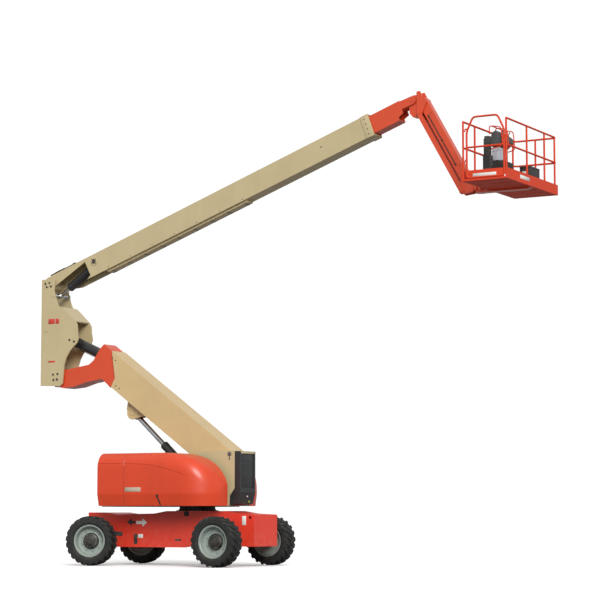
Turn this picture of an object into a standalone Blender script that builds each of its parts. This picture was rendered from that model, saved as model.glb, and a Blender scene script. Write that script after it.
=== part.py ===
"""Articulating boom lift: chassis, turntable, tower boom, upright, main boom, jib and platform.

Metres, +Z up. +X runs from the steer axle to the drive axle, which is also the way the main boom
points. Every moving group hangs on an empty that lies on its joint's axis, so turning that empty
moves the group. The swing axis is the design's own origin; the last step shifts the whole machine
so that the middle of its base box lies at the world origin.
"""

import math

import bmesh
import bpy
from mathutils import Matrix, Vector

# ---- clearances -------------------------------------------------------------------------------
SEAT_GAP = 0.0003  # between pieces that rest on each other
PIN_GAP = 0.0005  # round a pin, and beside an eye
PIN_SIDES = 16
PIN_CAP = 0.009  # how far a pin's head stands out
WORK_GAP = 0.006  # between pieces that pass each other

# ---- chassis and wheels -----------------------------------------------------------------------
WHEELBASE = 3.05
STEER_AXLE_X = -1.945
TYRE_RADIUS = 0.50
TYRE_WIDTH = 0.38
RIM_RADIUS = 0.325
RIM_WIDTH = 0.30
HUB_RADIUS = 0.13
WHEEL_SIDES = 36
SPINDLE_RADIUS = 0.055
TRACK = 2.11
KINGPIN_OFFSET = 0.235  # kingpin to the wheel's middle plane
KINGPIN_RADIUS = 0.035
STEER_ANGLE = math.radians(18)
AXLE_HALF = 0.11
FRAME_HALF_WIDTH = 0.45
FRAME_TOP = 1.10
FRAME_BOTTOM = 0.37
FRAME_WALL = 0.025
FRAME_REAR_OVERHANG = 0.42
FRAME_FRONT_OVERHANG = 0.50

# ---- turntable --------------------------------------------------------------------------------
SLEW_RADIUS = 0.38
SLEW_HEIGHT = 0.10
DECK_THICKNESS = 0.045
CHEEK_THICKNESS = 0.03
CHEEK_INNER = 0.27
TOWER_PIVOT_X = 0.94
TOWER_PIVOT_RISE = 1.015  # above the turntable deck's top
HOOD_INNER = 0.36
HOOD_OUTER = 1.20
HOOD_REAR = -1.64
HOOD_SEAM = -1.00
HOOD_NOSE = {-1: 0.98, 1: 0.94}  # right and left side
HOOD_HEIGHT = 1.06
HOOD_WALL = 0.012
HOOD_HINGE_Y = 0.44
WEIGHT_LENGTH = 0.46
NOSE_SHARE = 0.97  # how far round its curve the nose runs before it is cut flat

# ---- tower boom -------------------------------------------------------------------------------
TOWER_ANGLE = math.radians(36)
TOWER_TOP = 0.055
TOWER_BOTTOM = -0.565
TOWER_HALF_WIDTH = 0.25
TOWER_WALL = 0.016
TOWER_LENGTH = 3.63
FLY_CLEARANCE = 0.022
TOWER_FLY_INNER_END = -0.42
PIN_RADIUS = 0.035
MAIN_PIN_RADIUS = 0.049
LINK_PIN_RADIUS = 0.022
TOWER_LUG = (-2.517, -0.745)
LUG_INNER = 0.075
LUG_OUTER = 0.11
TOWER_RAM_FOOT = (0.347, 1.391)
TOWER_RAM_RADIUS = 0.085
TOWER_RAM_RETRACT = 0.64
TOWER_BARREL_LENGTH = 1.58

# ---- upright ----------------------------------------------------------------------------------
UPRIGHT_FOOT = (-TOWER_LENGTH - 0.8605, -1.186)  # in the tower's own frame
UPRIGHT_INNER = 0.24
UPRIGHT_PLATE = 0.03
MAIN_PIVOT = (-0.218, 1.964)  # from the upright's foot pin
LEVEL_PIN = (-0.260, 1.000)
NECK_PIN = (1.24, 0.355)
LEVEL_RAM_RADIUS = 0.105
LEVEL_RAM_RETRACT = 0.585
LEVEL_BARREL_LENGTH = 0.95

# ---- main boom --------------------------------------------------------------------------------
MAIN_ANGLE = math.radians(20)
MAIN_TOP = 0.19
MAIN_BOTTOM = -0.25
MAIN_HALF_WIDTH = 0.17
MAIN_WALL = 0.014
MAIN_LENGTH = 8.17
MAIN_CHANNEL = 1.42
MAIN_RAM_PIN = (1.202, 0.040)  # in the main boom's own frame
MAIN_RAM_FOOT = (0.147, -0.229)  # from the main pivot, level axes
MAIN_RAM_RADIUS = 0.085
MAIN_RAM_RETRACT = 0.10
MAIN_BARREL_LENGTH = 0.90
MAIN_FLY_INNER_END = 1.62
MAIN_FLY_END = MAIN_LENGTH + 0.70
KNUCKLE_PIN = (MAIN_LENGTH + 0.96, 0.045)  # in the main boom's own frame

# ---- jib and platform -------------------------------------------------------------------------
JIB_ANGLE = math.radians(-60.5)
JIB_LENGTH = 1.83
JIB_PIVOT = (0.206, -0.038)  # from the knuckle pin, level axes
LINK_DROP = (-0.060, -0.235)  # from the jib pivot to the lower link's pin
JIB_DEPTH = 0.185
JIB_HALF_WIDTH = 0.085
LINK_DEPTH = 0.095
LINK_THICKNESS = 0.022
EAR_THICKNESS = 0.028
ROTATOR_AHEAD = 0.285  # jib's lower pivot to the rotator axis
ROTATOR_RADIUS = 0.085
ROTATOR_FLANGE = 0.11
PLATFORM_LENGTH = 2.44
PLATFORM_WIDTH = 0.91
PLATFORM_BEHIND = 0.165  # rotator axis to the platform's near edge
DECK_DROP = 0.245  # platform's underside below the jib's lower pivot
TOE_HEIGHT = 0.20
RAIL_HEIGHT = 1.14
RAIL_RADIUS = 0.019
GATE_HINGE = 0.045  # hinge line inside the post
GATE_LUG_HALF = 0.006

ORANGE = (0.80, 0.085, 0.018, 1.0)
CREAM = (0.58, 0.46, 0.25, 1.0)
BLACK = (0.012, 0.013, 0.014, 1.0)
STEEL = (0.55, 0.56, 0.58, 1.0)
GREY = (0.08, 0.085, 0.09, 1.0)


# ---- small tools ------------------------------------------------------------------------------
def clear_scene():
    for old in list(bpy.data.objects):
        bpy.data.objects.remove(old, do_unlink=True)


def paint(name, color, roughness=0.45, metallic=0.0):
    found = bpy.data.materials.get(name)
    if found:
        return found
    made = bpy.data.materials.new(name)
    made.use_nodes = True
    shader = made.node_tree.nodes["Principled BSDF"]
    shader.inputs["Base Color"].default_value = color
    shader.inputs["Roughness"].default_value = roughness
    shader.inputs["Metallic"].default_value = metallic
    return made


def axis_empty(name, location, tilt=0.0, parent=None, turn=0.0):
    """An empty on a joint's axis; tilt is about Y, turn about Z."""
    made = bpy.data.objects.new(name, None)
    made.empty_display_size = 0.3
    bpy.context.scene.collection.objects.link(made)
    made.location = location
    made.rotation_euler = (0.0, tilt, turn)
    made.parent = parent
    return made


def mesh_object(bm, name="piece"):
    """The finished shape as an object, its faces pointing out."""
    bmesh.ops.recalc_face_normals(bm, faces=bm.faces)
    if bm.calc_volume(signed=True) < 0:
        bmesh.ops.reverse_faces(bm, faces=bm.faces)
    mesh = bpy.data.meshes.new(name)
    bm.to_mesh(mesh)
    bm.free()
    made = bpy.data.objects.new(name, mesh)
    bpy.context.scene.collection.objects.link(made)
    return made


def block(low, high):
    """A box between two corners."""
    bm = bmesh.new()
    bmesh.ops.create_cube(bm, size=1.0)
    low, high = Vector(low), Vector(high)
    for vert in bm.verts:
        vert.co = Vector(
            (low[i] + (vert.co[i] + 0.5) * (high[i] - low[i])) for i in range(3)
        )
    return mesh_object(bm)


def slab(outline, y_from, y_to):
    """An outline of (x, z) points as a plate between two values of y."""
    bm = bmesh.new()
    face = bm.faces.new([bm.verts.new((x, y_from, z)) for x, z in outline])
    grown = bmesh.ops.extrude_face_region(bm, geom=[face])["geom"]
    moved = [item for item in grown if isinstance(item, bmesh.types.BMVert)]
    bmesh.ops.translate(bm, verts=moved, vec=(0.0, y_to - y_from, 0.0))
    return mesh_object(bm)


def rod(start, end, radius, sides=20):
    """A round bar between two points."""
    start, end = Vector(start), Vector(end)
    run = end - start
    bm = bmesh.new()
    bmesh.ops.create_cone(
        bm, cap_ends=True, segments=sides, radius1=radius, radius2=radius, depth=run.length
    )
    turn = run.to_track_quat("Z", "Y").to_matrix().to_4x4()
    bm.transform(Matrix.Translation((start + end) / 2) @ turn)
    return mesh_object(bm)


def cross_pin(x, z, radius, half, sides=PIN_SIDES):
    """A round bar across the machine, along y."""
    return rod((x, -half, z), (x, half, z), radius, sides)


def pin_hole(x, z, radius, half):
    """The cutter for a hole that clears a cross pin however the two are turned."""
    return cross_pin(x, z, (radius + PIN_GAP) / math.cos(math.pi / PIN_SIDES), half)


def turned(profile, sides, axis="Y"):
    """A closed (radius, height) profile turned about an axis through the origin."""
    bm = bmesh.new()
    rings = []
    for step in range(sides):
        angle = math.tau * step / sides
        c, s = math.cos(angle), math.sin(angle)
        if axis == "Y":
            ring = [bm.verts.new((r * s, h, -r * c)) for r, h in profile]
        else:
            ring = [bm.verts.new((r * c, r * s, h)) for r, h in profile]
        rings.append(ring)
    count = len(profile)
    for step in range(sides):
        one, two = rings[step], rings[(step + 1) % sides]
        for i in range(count):
            j = (i + 1) % count
            bm.faces.new((one[i], one[j], two[j], two[i]))
    return mesh_object(bm)


def lofted(sections):
    """A closed solid through a row of closed sections with equal numbers of points."""
    bm = bmesh.new()
    rings = [[bm.verts.new(point) for point in section] for section in sections]
    count = len(rings[0])
    for one, two in zip(rings, rings[1:]):
        for i in range(count):
            j = (i + 1) % count
            bm.faces.new((one[i], one[j], two[j], two[i]))
    bm.faces.new(rings[0])
    bm.faces.new(rings[-1])
    return mesh_object(bm)


def arc(centre, radius, start, end, steps):
    """Points on an arc in the x-z plane, angles in degrees."""
    points = []
    for step in range(steps + 1):
        angle = math.radians(start + (end - start) * step / steps)
        points.append((centre[0] + radius * math.cos(angle), centre[1] + radius * math.sin(angle)))
    return points


def drop(objects):
    for gone in objects:
        bpy.data.objects.remove(gone, do_unlink=True)


def fuse(name, solids, cuts=(), parent=None, material=None, smooth=None):
    """One node from solids joined together, less the cuts, hung on its joint's empty."""
    base = solids[0]
    for other in list(solids[1:]) + list(cuts):
        step = base.modifiers.new("step", "BOOLEAN")
        step.solver = "EXACT"
        step.operation = "DIFFERENCE" if other in cuts else "UNION"
        step.object = other
    graph = bpy.context.evaluated_depsgraph_get()
    mesh = bpy.data.meshes.new_from_object(base.evaluated_get(graph))
    drop(list(solids) + list(cuts))
    mesh.name = name
    made = bpy.data.objects.new(name, mesh)
    bpy.context.scene.collection.objects.link(made)
    made.parent = parent
    mesh.materials.clear()
    mesh.materials.append(material)
    if smooth:
        mesh.shade_smooth()
        mesh.set_sharp_from_angle(angle=math.radians(smooth))
    return made


def rotated(point, angle):
    """A point of the x-z plane turned by a tilt about Y."""
    x, z = point
    return (x * math.cos(angle) + z * math.sin(angle), -x * math.sin(angle) + z * math.cos(angle))


# ---- chassis ----------------------------------------------------------------------------------
def chassis_outline():
    """Side outline of the frame with an arch over each axle."""
    rear = STEER_AXLE_X - FRAME_REAR_OVERHANG
    drive = STEER_AXLE_X + WHEELBASE
    front = drive + FRAME_FRONT_OVERHANG
    arch = AXLE_HALF + SEAT_GAP
    roof = TYRE_RADIUS + AXLE_HALF + SEAT_GAP
    return [
        (rear, FRAME_TOP - 0.03), (STEER_AXLE_X, FRAME_TOP - 0.03), (STEER_AXLE_X + 0.3, FRAME_TOP - 0.07),
        (-0.75, FRAME_TOP - 0.05), (-0.45, FRAME_TOP), (0.85, FRAME_TOP), (1.2, FRAME_TOP - 0.05),
        (front, FRAME_TOP - 0.07), (front, FRAME_BOTTOM + 0.03), (drive + arch, FRAME_BOTTOM + 0.03),
        (drive + arch, roof), (drive - arch, roof), (drive - arch, FRAME_BOTTOM + 0.03),
        (0.2, FRAME_BOTTOM + 0.03), (0.0, FRAME_BOTTOM), (STEER_AXLE_X + arch, FRAME_BOTTOM),
        (STEER_AXLE_X + arch, roof), (STEER_AXLE_X - arch, roof), (STEER_AXLE_X - arch, FRAME_BOTTOM + 0.08),
        (rear, FRAME_BOTTOM + 0.16),
    ]


def make_chassis(root):
    rear = STEER_AXLE_X - FRAME_REAR_OVERHANG
    front = STEER_AXLE_X + WHEELBASE + FRAME_FRONT_OVERHANG
    shell = slab(chassis_outline(), -FRAME_HALF_WIDTH, FRAME_HALF_WIDTH)
    roof = TYRE_RADIUS + AXLE_HALF + FRAME_WALL
    inner = FRAME_HALF_WIDTH - FRAME_WALL
    top = FRAME_TOP - 0.07 - FRAME_WALL
    hollow = block((rear + FRAME_WALL, -inner, roof), (front - FRAME_WALL, inner, top))
    belly = block(
        (STEER_AXLE_X + AXLE_HALF + FRAME_WALL * 2, -inner, FRAME_BOTTOM - 0.1),
        (STEER_AXLE_X + WHEELBASE - AXLE_HALF - FRAME_WALL * 2, inner, top - 0.02),
    )
    tie_hole = cross_pin(front - 0.10, FRAME_TOP - 0.13, 0.03, FRAME_HALF_WIDTH + 0.1, 16)
    fuse("chassis_frame", [shell], [hollow, belly, tie_hole], root, paint("chassis_orange", ORANGE))
    ring = rod((0, 0, FRAME_TOP + SEAT_GAP), (0, 0, FRAME_TOP + SLEW_HEIGHT), SLEW_RADIUS, 40)
    fuse("slew_ring", [ring], (), root, paint("slew_steel", BLACK, 0.5, 0.6), 40)


def axle_beam(name, axle_x, half_length, end_parts, root):
    beam = block(
        (axle_x - AXLE_HALF, -half_length, TYRE_RADIUS - AXLE_HALF * 0.9),
        (axle_x + AXLE_HALF, half_length, TYRE_RADIUS + AXLE_HALF),
    )
    return fuse(name, [beam] + end_parts, (), root, paint("axle_orange", ORANGE, 0.5))


def make_axles(root):
    """The steer beam carries a kingpin at each end, the drive axle a spindle."""
    kingpin = TRACK / 2 - KINGPIN_OFFSET
    forks = []
    for side in (-1, 1):
        foot, head = (
            (STEER_AXLE_X, side * kingpin, TYRE_RADIUS + rise) for rise in (-0.17, 0.17)
        )
        forks.append(rod(foot, head, KINGPIN_RADIUS))
        for reach, low, high in ((0.05, -0.17, -0.125), (0.05, 0.125, 0.17), (-0.12, -0.17, 0.17)):
            ys = sorted((side * (kingpin - 0.22), side * (kingpin + reach)))
            forks.append(block(
                (STEER_AXLE_X - 0.06, ys[0], TYRE_RADIUS + low),
                (STEER_AXLE_X + 0.06, ys[1], TYRE_RADIUS + high),
            ))
    axle_beam("steer_axle", STEER_AXLE_X, kingpin - 0.18, forks, root)
    drive = STEER_AXLE_X + WHEELBASE
    hub_face = TRACK / 2 - RIM_WIDTH * 0.2
    ends = [cross_pin(drive, TYRE_RADIUS, SPINDLE_RADIUS, TRACK / 2 + 0.06)]
    for side in (-1, 1):
        start = (drive, side * (FRAME_HALF_WIDTH + WORK_GAP), TYRE_RADIUS)
        ends.append(rod(start, (drive, side * (hub_face - 0.002), TYRE_RADIUS), HUB_RADIUS, 28))
    axle_beam("drive_axle", drive, FRAME_HALF_WIDTH + 0.12, ends, root)


def make_knuckle(side_name, side, pivot):
    """Steering knuckle: a barrel round the kingpin with the wheel's spindle."""
    barrel = rod((0, 0, -0.125 + PIN_GAP), (0, 0, 0.125 - PIN_GAP), 0.075, 24)
    spindle = rod((0, 0, 0), (0, side * (KINGPIN_OFFSET + 0.06), 0), SPINDLE_RADIUS, 24)
    flange_end = side * (KINGPIN_OFFSET - RIM_WIDTH * 0.2 - 0.06)
    flange = rod((0, side * 0.05, 0), (0, flange_end, 0), HUB_RADIUS * 0.9, 28)
    bore = rod((0, 0, -0.2), (0, 0, 0.2), KINGPIN_RADIUS + PIN_GAP, 24)
    black = paint("knuckle_black", BLACK)
    fuse(f"steer_knuckle_{side_name}", [barrel, spindle, flange], [bore], pivot, black)


def tyre_profile():
    half, bead = TYRE_WIDTH / 2, RIM_RADIUS + SEAT_GAP
    return [
        (bead, -RIM_WIDTH / 2), (bead + 0.05, -half * 0.97), (TYRE_RADIUS * 0.86, -half),
        (TYRE_RADIUS * 0.97, -half * 0.93),
        (TYRE_RADIUS, -half * 0.76), (TYRE_RADIUS, half * 0.76), (TYRE_RADIUS * 0.97, half * 0.93),
        (TYRE_RADIUS * 0.86, half), (bead + 0.05, half * 0.97), (bead, RIM_WIDTH / 2),
    ]


def rim_profile(side):
    """Dished disc wheel, its hub face towards the outside."""
    half = RIM_WIDTH / 2
    bore = SPINDLE_RADIUS + PIN_GAP
    points = [
        (bore, -RIM_WIDTH * 0.2), (HUB_RADIUS, -RIM_WIDTH * 0.2), (HUB_RADIUS + 0.06, -0.02),
        (RIM_RADIUS - 0.045, -0.02),
        (RIM_RADIUS - 0.03, -half + 0.02), (RIM_RADIUS - 0.03, -half), (RIM_RADIUS, -half),
        (RIM_RADIUS, half),
        (RIM_RADIUS - 0.025, half), (RIM_RADIUS - 0.035, half - 0.02), (RIM_RADIUS - 0.055, 0.01),
        (HUB_RADIUS + 0.03, 0.01), (HUB_RADIUS - 0.02, 0.06), (0.085, 0.075), (bore, 0.075),
    ]
    return [(r, side * h) for r, h in points]


def make_wheel(name, side, pivot):
    tyre = turned(tyre_profile(), WHEEL_SIDES)
    fuse(f"tyre_{name}", [tyre], (), pivot, paint("tyre_rubber", (0.02, 0.02, 0.02, 1), 0.85), 35)
    rim = turned(rim_profile(side), WHEEL_SIDES)
    fuse(f"rim_{name}", [rim], (), pivot, paint("rim_paint", (0.33, 0.38, 0.36, 1), 0.5), 35)


def make_running_gear(root):
    kingpin = TRACK / 2 - KINGPIN_OFFSET
    for side_name, side in (("right", -1), ("left", 1)):
        steer = axis_empty(
            f"steer_{side_name}_axis", (STEER_AXLE_X, side * kingpin, TYRE_RADIUS), 0.0, root, STEER_ANGLE
        )
        make_knuckle(side_name, side, steer)
        wheel = axis_empty(f"wheel_steer_{side_name}_axis", (0, side * KINGPIN_OFFSET, 0), 0.0, steer)
        make_wheel(f"steer_{side_name}", side, wheel)
        centre = (STEER_AXLE_X + WHEELBASE, side * TRACK / 2, TYRE_RADIUS)
        drive = axis_empty(f"wheel_drive_{side_name}_axis", centre, 0.0, root)
        make_wheel(f"drive_{side_name}", side, drive)


# ---- turntable --------------------------------------------------------------------------------
def deck_base():
    return FRAME_TOP + SLEW_HEIGHT + SEAT_GAP


def deck_top():
    return deck_base() + DECK_THICKNESS


def tower_pivot():
    return (TOWER_PIVOT_X, deck_top() + TOWER_PIVOT_RISE - 0.025)


def end_x():
    """Boom-side edge of the cheek plates."""
    return TOWER_PIVOT_X + 0.12


def hood_hinge_z():
    return deck_base() + HOOD_HEIGHT - HOOD_WALL - SEAT_GAP


def make_turntable(swing):
    px, pz = tower_pivot()
    base, top = deck_base(), deck_top()
    deck_half = HOOD_INNER + 0.45
    shoulder = HOOD_NOSE[1] - 0.28
    deck = block((HOOD_REAR + HOOD_WALL + 0.02, -deck_half, base), (shoulder, deck_half, top))
    tongue_half = HOOD_HINGE_Y - 0.02
    tongue = block((shoulder - 0.01, -tongue_half, base), (TOWER_PIVOT_X - 0.005, tongue_half, top))
    cheek = [
        (end_x(), pz + 0.06), (end_x(), pz - 0.68), (TOWER_PIVOT_X + 0.005, pz - 0.835),
        (TOWER_PIVOT_X - 0.005, base),
        (-0.55, base), (-0.55, top + 0.15), (-0.25, top + 0.35), (0.20, pz + 0.02), (0.30, pz + 0.06),
    ]
    cheeks = [
        slab(cheek, side * CHEEK_INNER, side * (CHEEK_INNER + CHEEK_THICKNESS)) for side in (-1, 1)
    ]
    fx, fz = TOWER_RAM_FOOT
    ear = [
        (fx - 0.16, base + 0.01), (fx + 0.16, base + 0.01), (fx + 0.07, fz),
        *arc((fx, fz), 0.07, 20, 160, 6), (fx - 0.07, fz),
    ]
    ears = [slab(ear, side * LUG_INNER, side * LUG_OUTER) for side in (-1, 1)]
    hinge = hood_hinge_z()
    rail = [
        (HOOD_SEAM + 0.03, top - 0.001), (HOOD_SEAM + 0.26, top - 0.001), (HOOD_SEAM + 0.26, hinge - 0.06),
        (HOOD_SEAM + 0.60, hinge - 0.06), (HOOD_SEAM + 0.60, hinge), (HOOD_SEAM + 0.03, hinge),
    ]
    rails = [slab(rail, side * (HOOD_HINGE_Y - 0.045), side * (HOOD_HINGE_Y + 0.015)) for side in (-1, 1)]
    pins = [
        cross_pin(px, pz, PIN_RADIUS, CHEEK_INNER + CHEEK_THICKNESS + 0.006),
        cross_pin(fx, fz, PIN_RADIUS, LUG_OUTER + 0.005),
    ]
    tie_half = CHEEK_INNER + 0.01
    cheek_tie = block(
        (TOWER_PIVOT_X - 0.15, -tie_half, base), (TOWER_PIVOT_X - 0.12, tie_half, top + 0.12)
    )
    solids = [deck, tongue, cheek_tie] + cheeks + ears + rails + pins
    fuse("turntable_frame", solids, (), swing, paint("boom_cream", CREAM))


def make_end_box(swing):
    px, pz = tower_pivot()
    base = deck_base()
    gap = SEAT_GAP
    outline = [
        (end_x() + gap, pz + 0.055), (end_x() + 0.125, pz + 0.055), (end_x() + 0.125, pz - 0.76),
        (end_x() + 0.07, pz - 0.99), (TOWER_PIVOT_X + 0.01 + gap, base + 0.005),
        (TOWER_PIVOT_X + 0.012 + gap, pz - 0.842), (end_x() + gap, pz - 0.69),
    ]
    half = CHEEK_INNER + CHEEK_THICKNESS
    shell = slab(outline, -half, half)
    recess = block((end_x() + 0.105, -half + 0.05, base + 0.35), (end_x() + 0.2, half - 0.05, pz + 0.01))
    inside = block((end_x() - 0.2, -half + 0.02, base + 0.34), (end_x() + 0.085, half - 0.02, pz + 0.03))
    fuse("end_box", [shell], [recess, inside], swing, paint("box_black", BLACK, 0.5))


def hood_top(x, nose):
    """Height of the hood's crown above its base along the machine."""
    if x <= -0.35:
        return HOOD_HEIGHT
    share = NOSE_SHARE * (x + 0.35) / (nose + 0.35)
    return 0.16 + (HOOD_HEIGHT - 0.16) * (1 - share**2.9) ** (1 / 2.1)


def hood_out(x, nose):
    """Distance of the hood's side from the machine's middle plane."""
    if x <= 0.25:
        return HOOD_OUTER
    share = NOSE_SHARE * (x - 0.25) / (nose - 0.25)
    return HOOD_INNER + 0.12 + (HOOD_OUTER - HOOD_INNER - 0.12) * (1 - share**2.6) ** (1 / 2.2)


def hood_section(x, side, inset, floor):
    """Section across the hood: inner wall, crown, rounded shoulder, side, ridge and tuck."""
    base = deck_base()
    crown = base + hood_top(x, HOOD_NOSE[side]) - inset
    out = hood_out(x, HOOD_NOSE[side]) - inset
    inner = HOOD_INNER + (inset if floor else -0.05 if inset else 0.0)
    ridge = min(base + 0.24, base + 0.7 * (crown - base))
    round_y = min(0.24, 0.8 * (out - inner))
    round_z = min(0.30, 0.9 * (crown - ridge))
    points = [(inner, base if floor else base - 0.05), (inner, crown)]
    for step in range(5):
        angle = math.radians(90 * step / 4)
        points.append((out - round_y * (1 - math.sin(angle)), crown - round_z * (1 - math.cos(angle))))
    points += [(out, ridge), (max(out - 0.06, inner + 0.02), base if floor else base - 0.05)]
    return [(x, side * y, z) for y, z in points]


def hood_stations(start, end, count):
    """Stations that come closer together towards the nose."""
    return [start + (end - start) * math.sin(math.pi / 2 * i / count) for i in range(count + 1)]


def hood_shell(start, end, side, count, open_rear):
    """Outer loft and the cutter that hollows it, open below, to the inside and at the seam."""
    stations = hood_stations(start, end, count)
    outer = lofted([hood_section(x, side, 0.0, True) for x in stations])
    first = start - 0.05 if open_rear else start + HOOD_WALL
    inside = [first] + [x for x in stations if first + 0.01 < x < end - 0.02]
    sections = [hood_section(x, side, HOOD_WALL, False) for x in inside]
    wall_x = end - HOOD_WALL if open_rear else end + 0.05
    inset = HOOD_WALL * (1.5 if open_rear else 1.0)
    last = [(wall_x, y, z) for _, y, z in hood_section(end, side, inset, False)]
    return outer, lofted(sections + [last])


def make_hoods(swing):
    for side_name, side in (("right", -1), ("left", 1)):
        outer, inner = hood_shell(HOOD_REAR, HOOD_SEAM - WORK_GAP / 2, side, 3, False)
        fuse(f"rear_cover_{side_name}", [outer], [inner], swing, paint("hood_orange", ORANGE))
        hinge = axis_empty(f"hood_{side_name}_axis", (0, side * HOOD_HINGE_Y, hood_hinge_z()), 0.0, swing)
        outer, inner = hood_shell(HOOD_SEAM + WORK_GAP / 2, HOOD_NOSE[side], side, 10, True)
        keep = block((HOOD_SEAM - 0.1, side * HOOD_HINGE_Y if side > 0 else -2.0, 0.0),
                     (HOOD_NOSE[side] + 0.1, 2.0 if side > 0 else side * HOOD_HINGE_Y, 3.0))
        fuse_door(f"hood_door_{side_name}", outer, inner, keep, hinge)


def fuse_door(name, outer, inner, keep, hinge):
    """The swinging hood: the shell outside its hinge line, with its mesh moved to the hinge."""
    for other, operation in ((keep, "INTERSECT"), (inner, "DIFFERENCE")):
        step = outer.modifiers.new("step", "BOOLEAN")
        step.solver = "EXACT"
        step.operation = operation
        step.object = other
    graph = bpy.context.evaluated_depsgraph_get()
    mesh = bpy.data.meshes.new_from_object(outer.evaluated_get(graph))
    drop([outer, inner, keep])
    mesh.transform(Matrix.Translation(-hinge.location))
    made = bpy.data.objects.new(name, mesh)
    bpy.context.scene.collection.objects.link(made)
    made.parent = hinge
    mesh.materials.clear()
    mesh.materials.append(paint("hood_orange", ORANGE))
    return made


def make_heavy_masses(swing):
    """Counterweight in the tail, engine under the near hood and tank under the far one."""
    top = deck_top() + SEAT_GAP
    tail = HOOD_REAR + HOOD_WALL + SEAT_GAP
    front = tail + WEIGHT_LENGTH
    weight = block((tail, -1.02, top), (front, 1.02, top + 0.06))
    sides = [
        block((tail, min(side * 0.40, side * 1.02), top), (front, max(side * 0.40, side * 1.02), top + 0.78))
        for side in (-1, 1)
    ]
    fuse("counterweight", [weight] + sides, (), swing, paint("weight_grey", BLACK, 0.7))
    engine = block((-0.70, -0.78, top), (0.42, -0.40, top + 0.62))
    fuse("engine", [engine], (), swing, paint("engine_grey", BLACK, 0.6))
    tank = block((-0.70, 0.40, top), (0.42, 0.78, top + 0.50))
    fuse("fuel_tank", [tank], (), swing, paint("tank_black", BLACK, 0.5))


# ---- rams -------------------------------------------------------------------------------------
def ram(name, axes, length, retract, barrel_length, radius, rod_radius, eye, half_eye, pin_half):
    """A barrel along +x from the pin on its empty, and a rod whose eye holds its own pin.

    retract is how far the rod still goes in from the rest length.
    """
    barrel_axis, rod_axis = axes
    sides = 20
    shoulder = eye * 1.25 + 0.02
    barrel = rod((shoulder, 0, 0), (barrel_length, 0, 0), radius, sides)
    foot = cross_pin(0, 0, eye, half_eye)
    neck = block(
        (0, -half_eye * 0.98, -eye * 0.8), (shoulder + 0.02, half_eye * 0.98, eye * 0.8)
    )
    bore_end = (barrel_length + 0.1, 0, 0)
    bore = rod((shoulder + 0.04, 0, 0), bore_end, rod_radius + PIN_GAP, sides)
    hole = pin_hole(0, 0, PIN_RADIUS, half_eye + 0.1)
    black = paint("ram_black", BLACK, 0.35)
    fuse(f"{name}_barrel", [barrel, neck, foot], [bore, hole], barrel_axis, black, 40)
    shaft = rod((shoulder + 0.05 + retract, 0, 0), (length - eye * 0.5, 0, 0), rod_radius, sides)
    head = cross_pin(length, 0, eye, half_eye)
    pin = cross_pin(length, 0, PIN_RADIUS, pin_half)
    steel = paint("chrome_rod", STEEL, 0.15, 1.0)
    fuse(f"{name}_rod", [shaft, head, pin], (), rod_axis, steel, 40)


def pin_caps(x, z, face, radius=0.05):
    """The heads of a pin on the outer faces of the two plates that carry it."""
    return [
        rod((x, side * (face - 0.004), z), (x, side * (face + PIN_CAP), z), radius, PIN_SIDES)
        for side in (-1, 1)
    ]


def aim(start, end):
    """Tilt about Y that points an empty's +x from start to end, both (x, z)."""
    return -math.atan2(end[1] - start[1], end[0] - start[0])


def distance(start, end):
    return math.hypot(end[0] - start[0], end[1] - start[1])


# ---- tower boom -------------------------------------------------------------------------------
def make_tower(swing):
    px, pz = tower_pivot()
    lift = axis_empty("tower_lift_axis", (px, 0, pz), TOWER_ANGLE, swing)
    make_tower_base(lift)
    slide = axis_empty("tower_telescope_axis", (0, 0, 0), 0.0, lift)
    make_tower_fly(slide)
    make_tower_ram(swing, lift, (px, pz))
    return slide


def make_tower_base(lift):
    half, wall = TOWER_HALF_WIDTH, TOWER_WALL
    outline = [
        (0.05, TOWER_TOP), (-TOWER_LENGTH, TOWER_TOP), (-TOWER_LENGTH + 0.40, TOWER_TOP - 0.41),
        (-TOWER_LENGTH + 0.43, TOWER_BOTTOM), (-0.62, TOWER_BOTTOM), (0.05, TOWER_BOTTOM + 0.50),
    ]
    shell = slab(outline, -half, half)
    hollow = block(
        (-TOWER_LENGTH - 0.3, -half + wall, TOWER_BOTTOM + wall),
        (-0.30, half - wall, TOWER_TOP - wall),
    )
    lx, lz = TOWER_LUG
    lug = [
        (lx - 0.26, TOWER_BOTTOM + 0.005), (lx - 0.17, lz), *arc((lx, lz), 0.13, 200, 300, 5),
        (lx + 0.33, TOWER_BOTTOM + 0.005),
    ]
    lugs = [slab(lug, side * LUG_INNER, side * LUG_OUTER) for side in (-1, 1)]
    lugs += pin_caps(lx, lz, LUG_OUTER)
    rod_room = block(
        (lx - 0.28, -LUG_INNER, TOWER_BOTTOM - 0.01),
        (lx + 0.34, LUG_INNER, TOWER_BOTTOM + wall + 0.004),
    )
    pads = []
    fly_half = half - wall - FLY_CLEARANCE
    mouth = -TOWER_LENGTH + 0.46
    for low, high in (
        (TOWER_BOTTOM + wall - 0.002, TOWER_BOTTOM + wall + FLY_CLEARANCE - PIN_GAP),
        (TOWER_TOP - wall - FLY_CLEARANCE + PIN_GAP, TOWER_TOP - wall + 0.002),
    ):
        pads.append(block((mouth, -fly_half + 0.02, low), (mouth + 0.12, fly_half - 0.02, high)))
    pivot_hole = pin_hole(0, 0, PIN_RADIUS, half + 0.1)
    eyes = cross_pin(0, 0, 0.053, CHEEK_INNER - PIN_GAP)
    hollow_first = fuse("tower_shell", [shell], [hollow], None, paint("boom_cream", CREAM))
    solids = [hollow_first] + lugs + pads + [eyes]
    fuse("tower_base_boom", solids, [pivot_hole, rod_room], lift, paint("boom_cream", CREAM))


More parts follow.
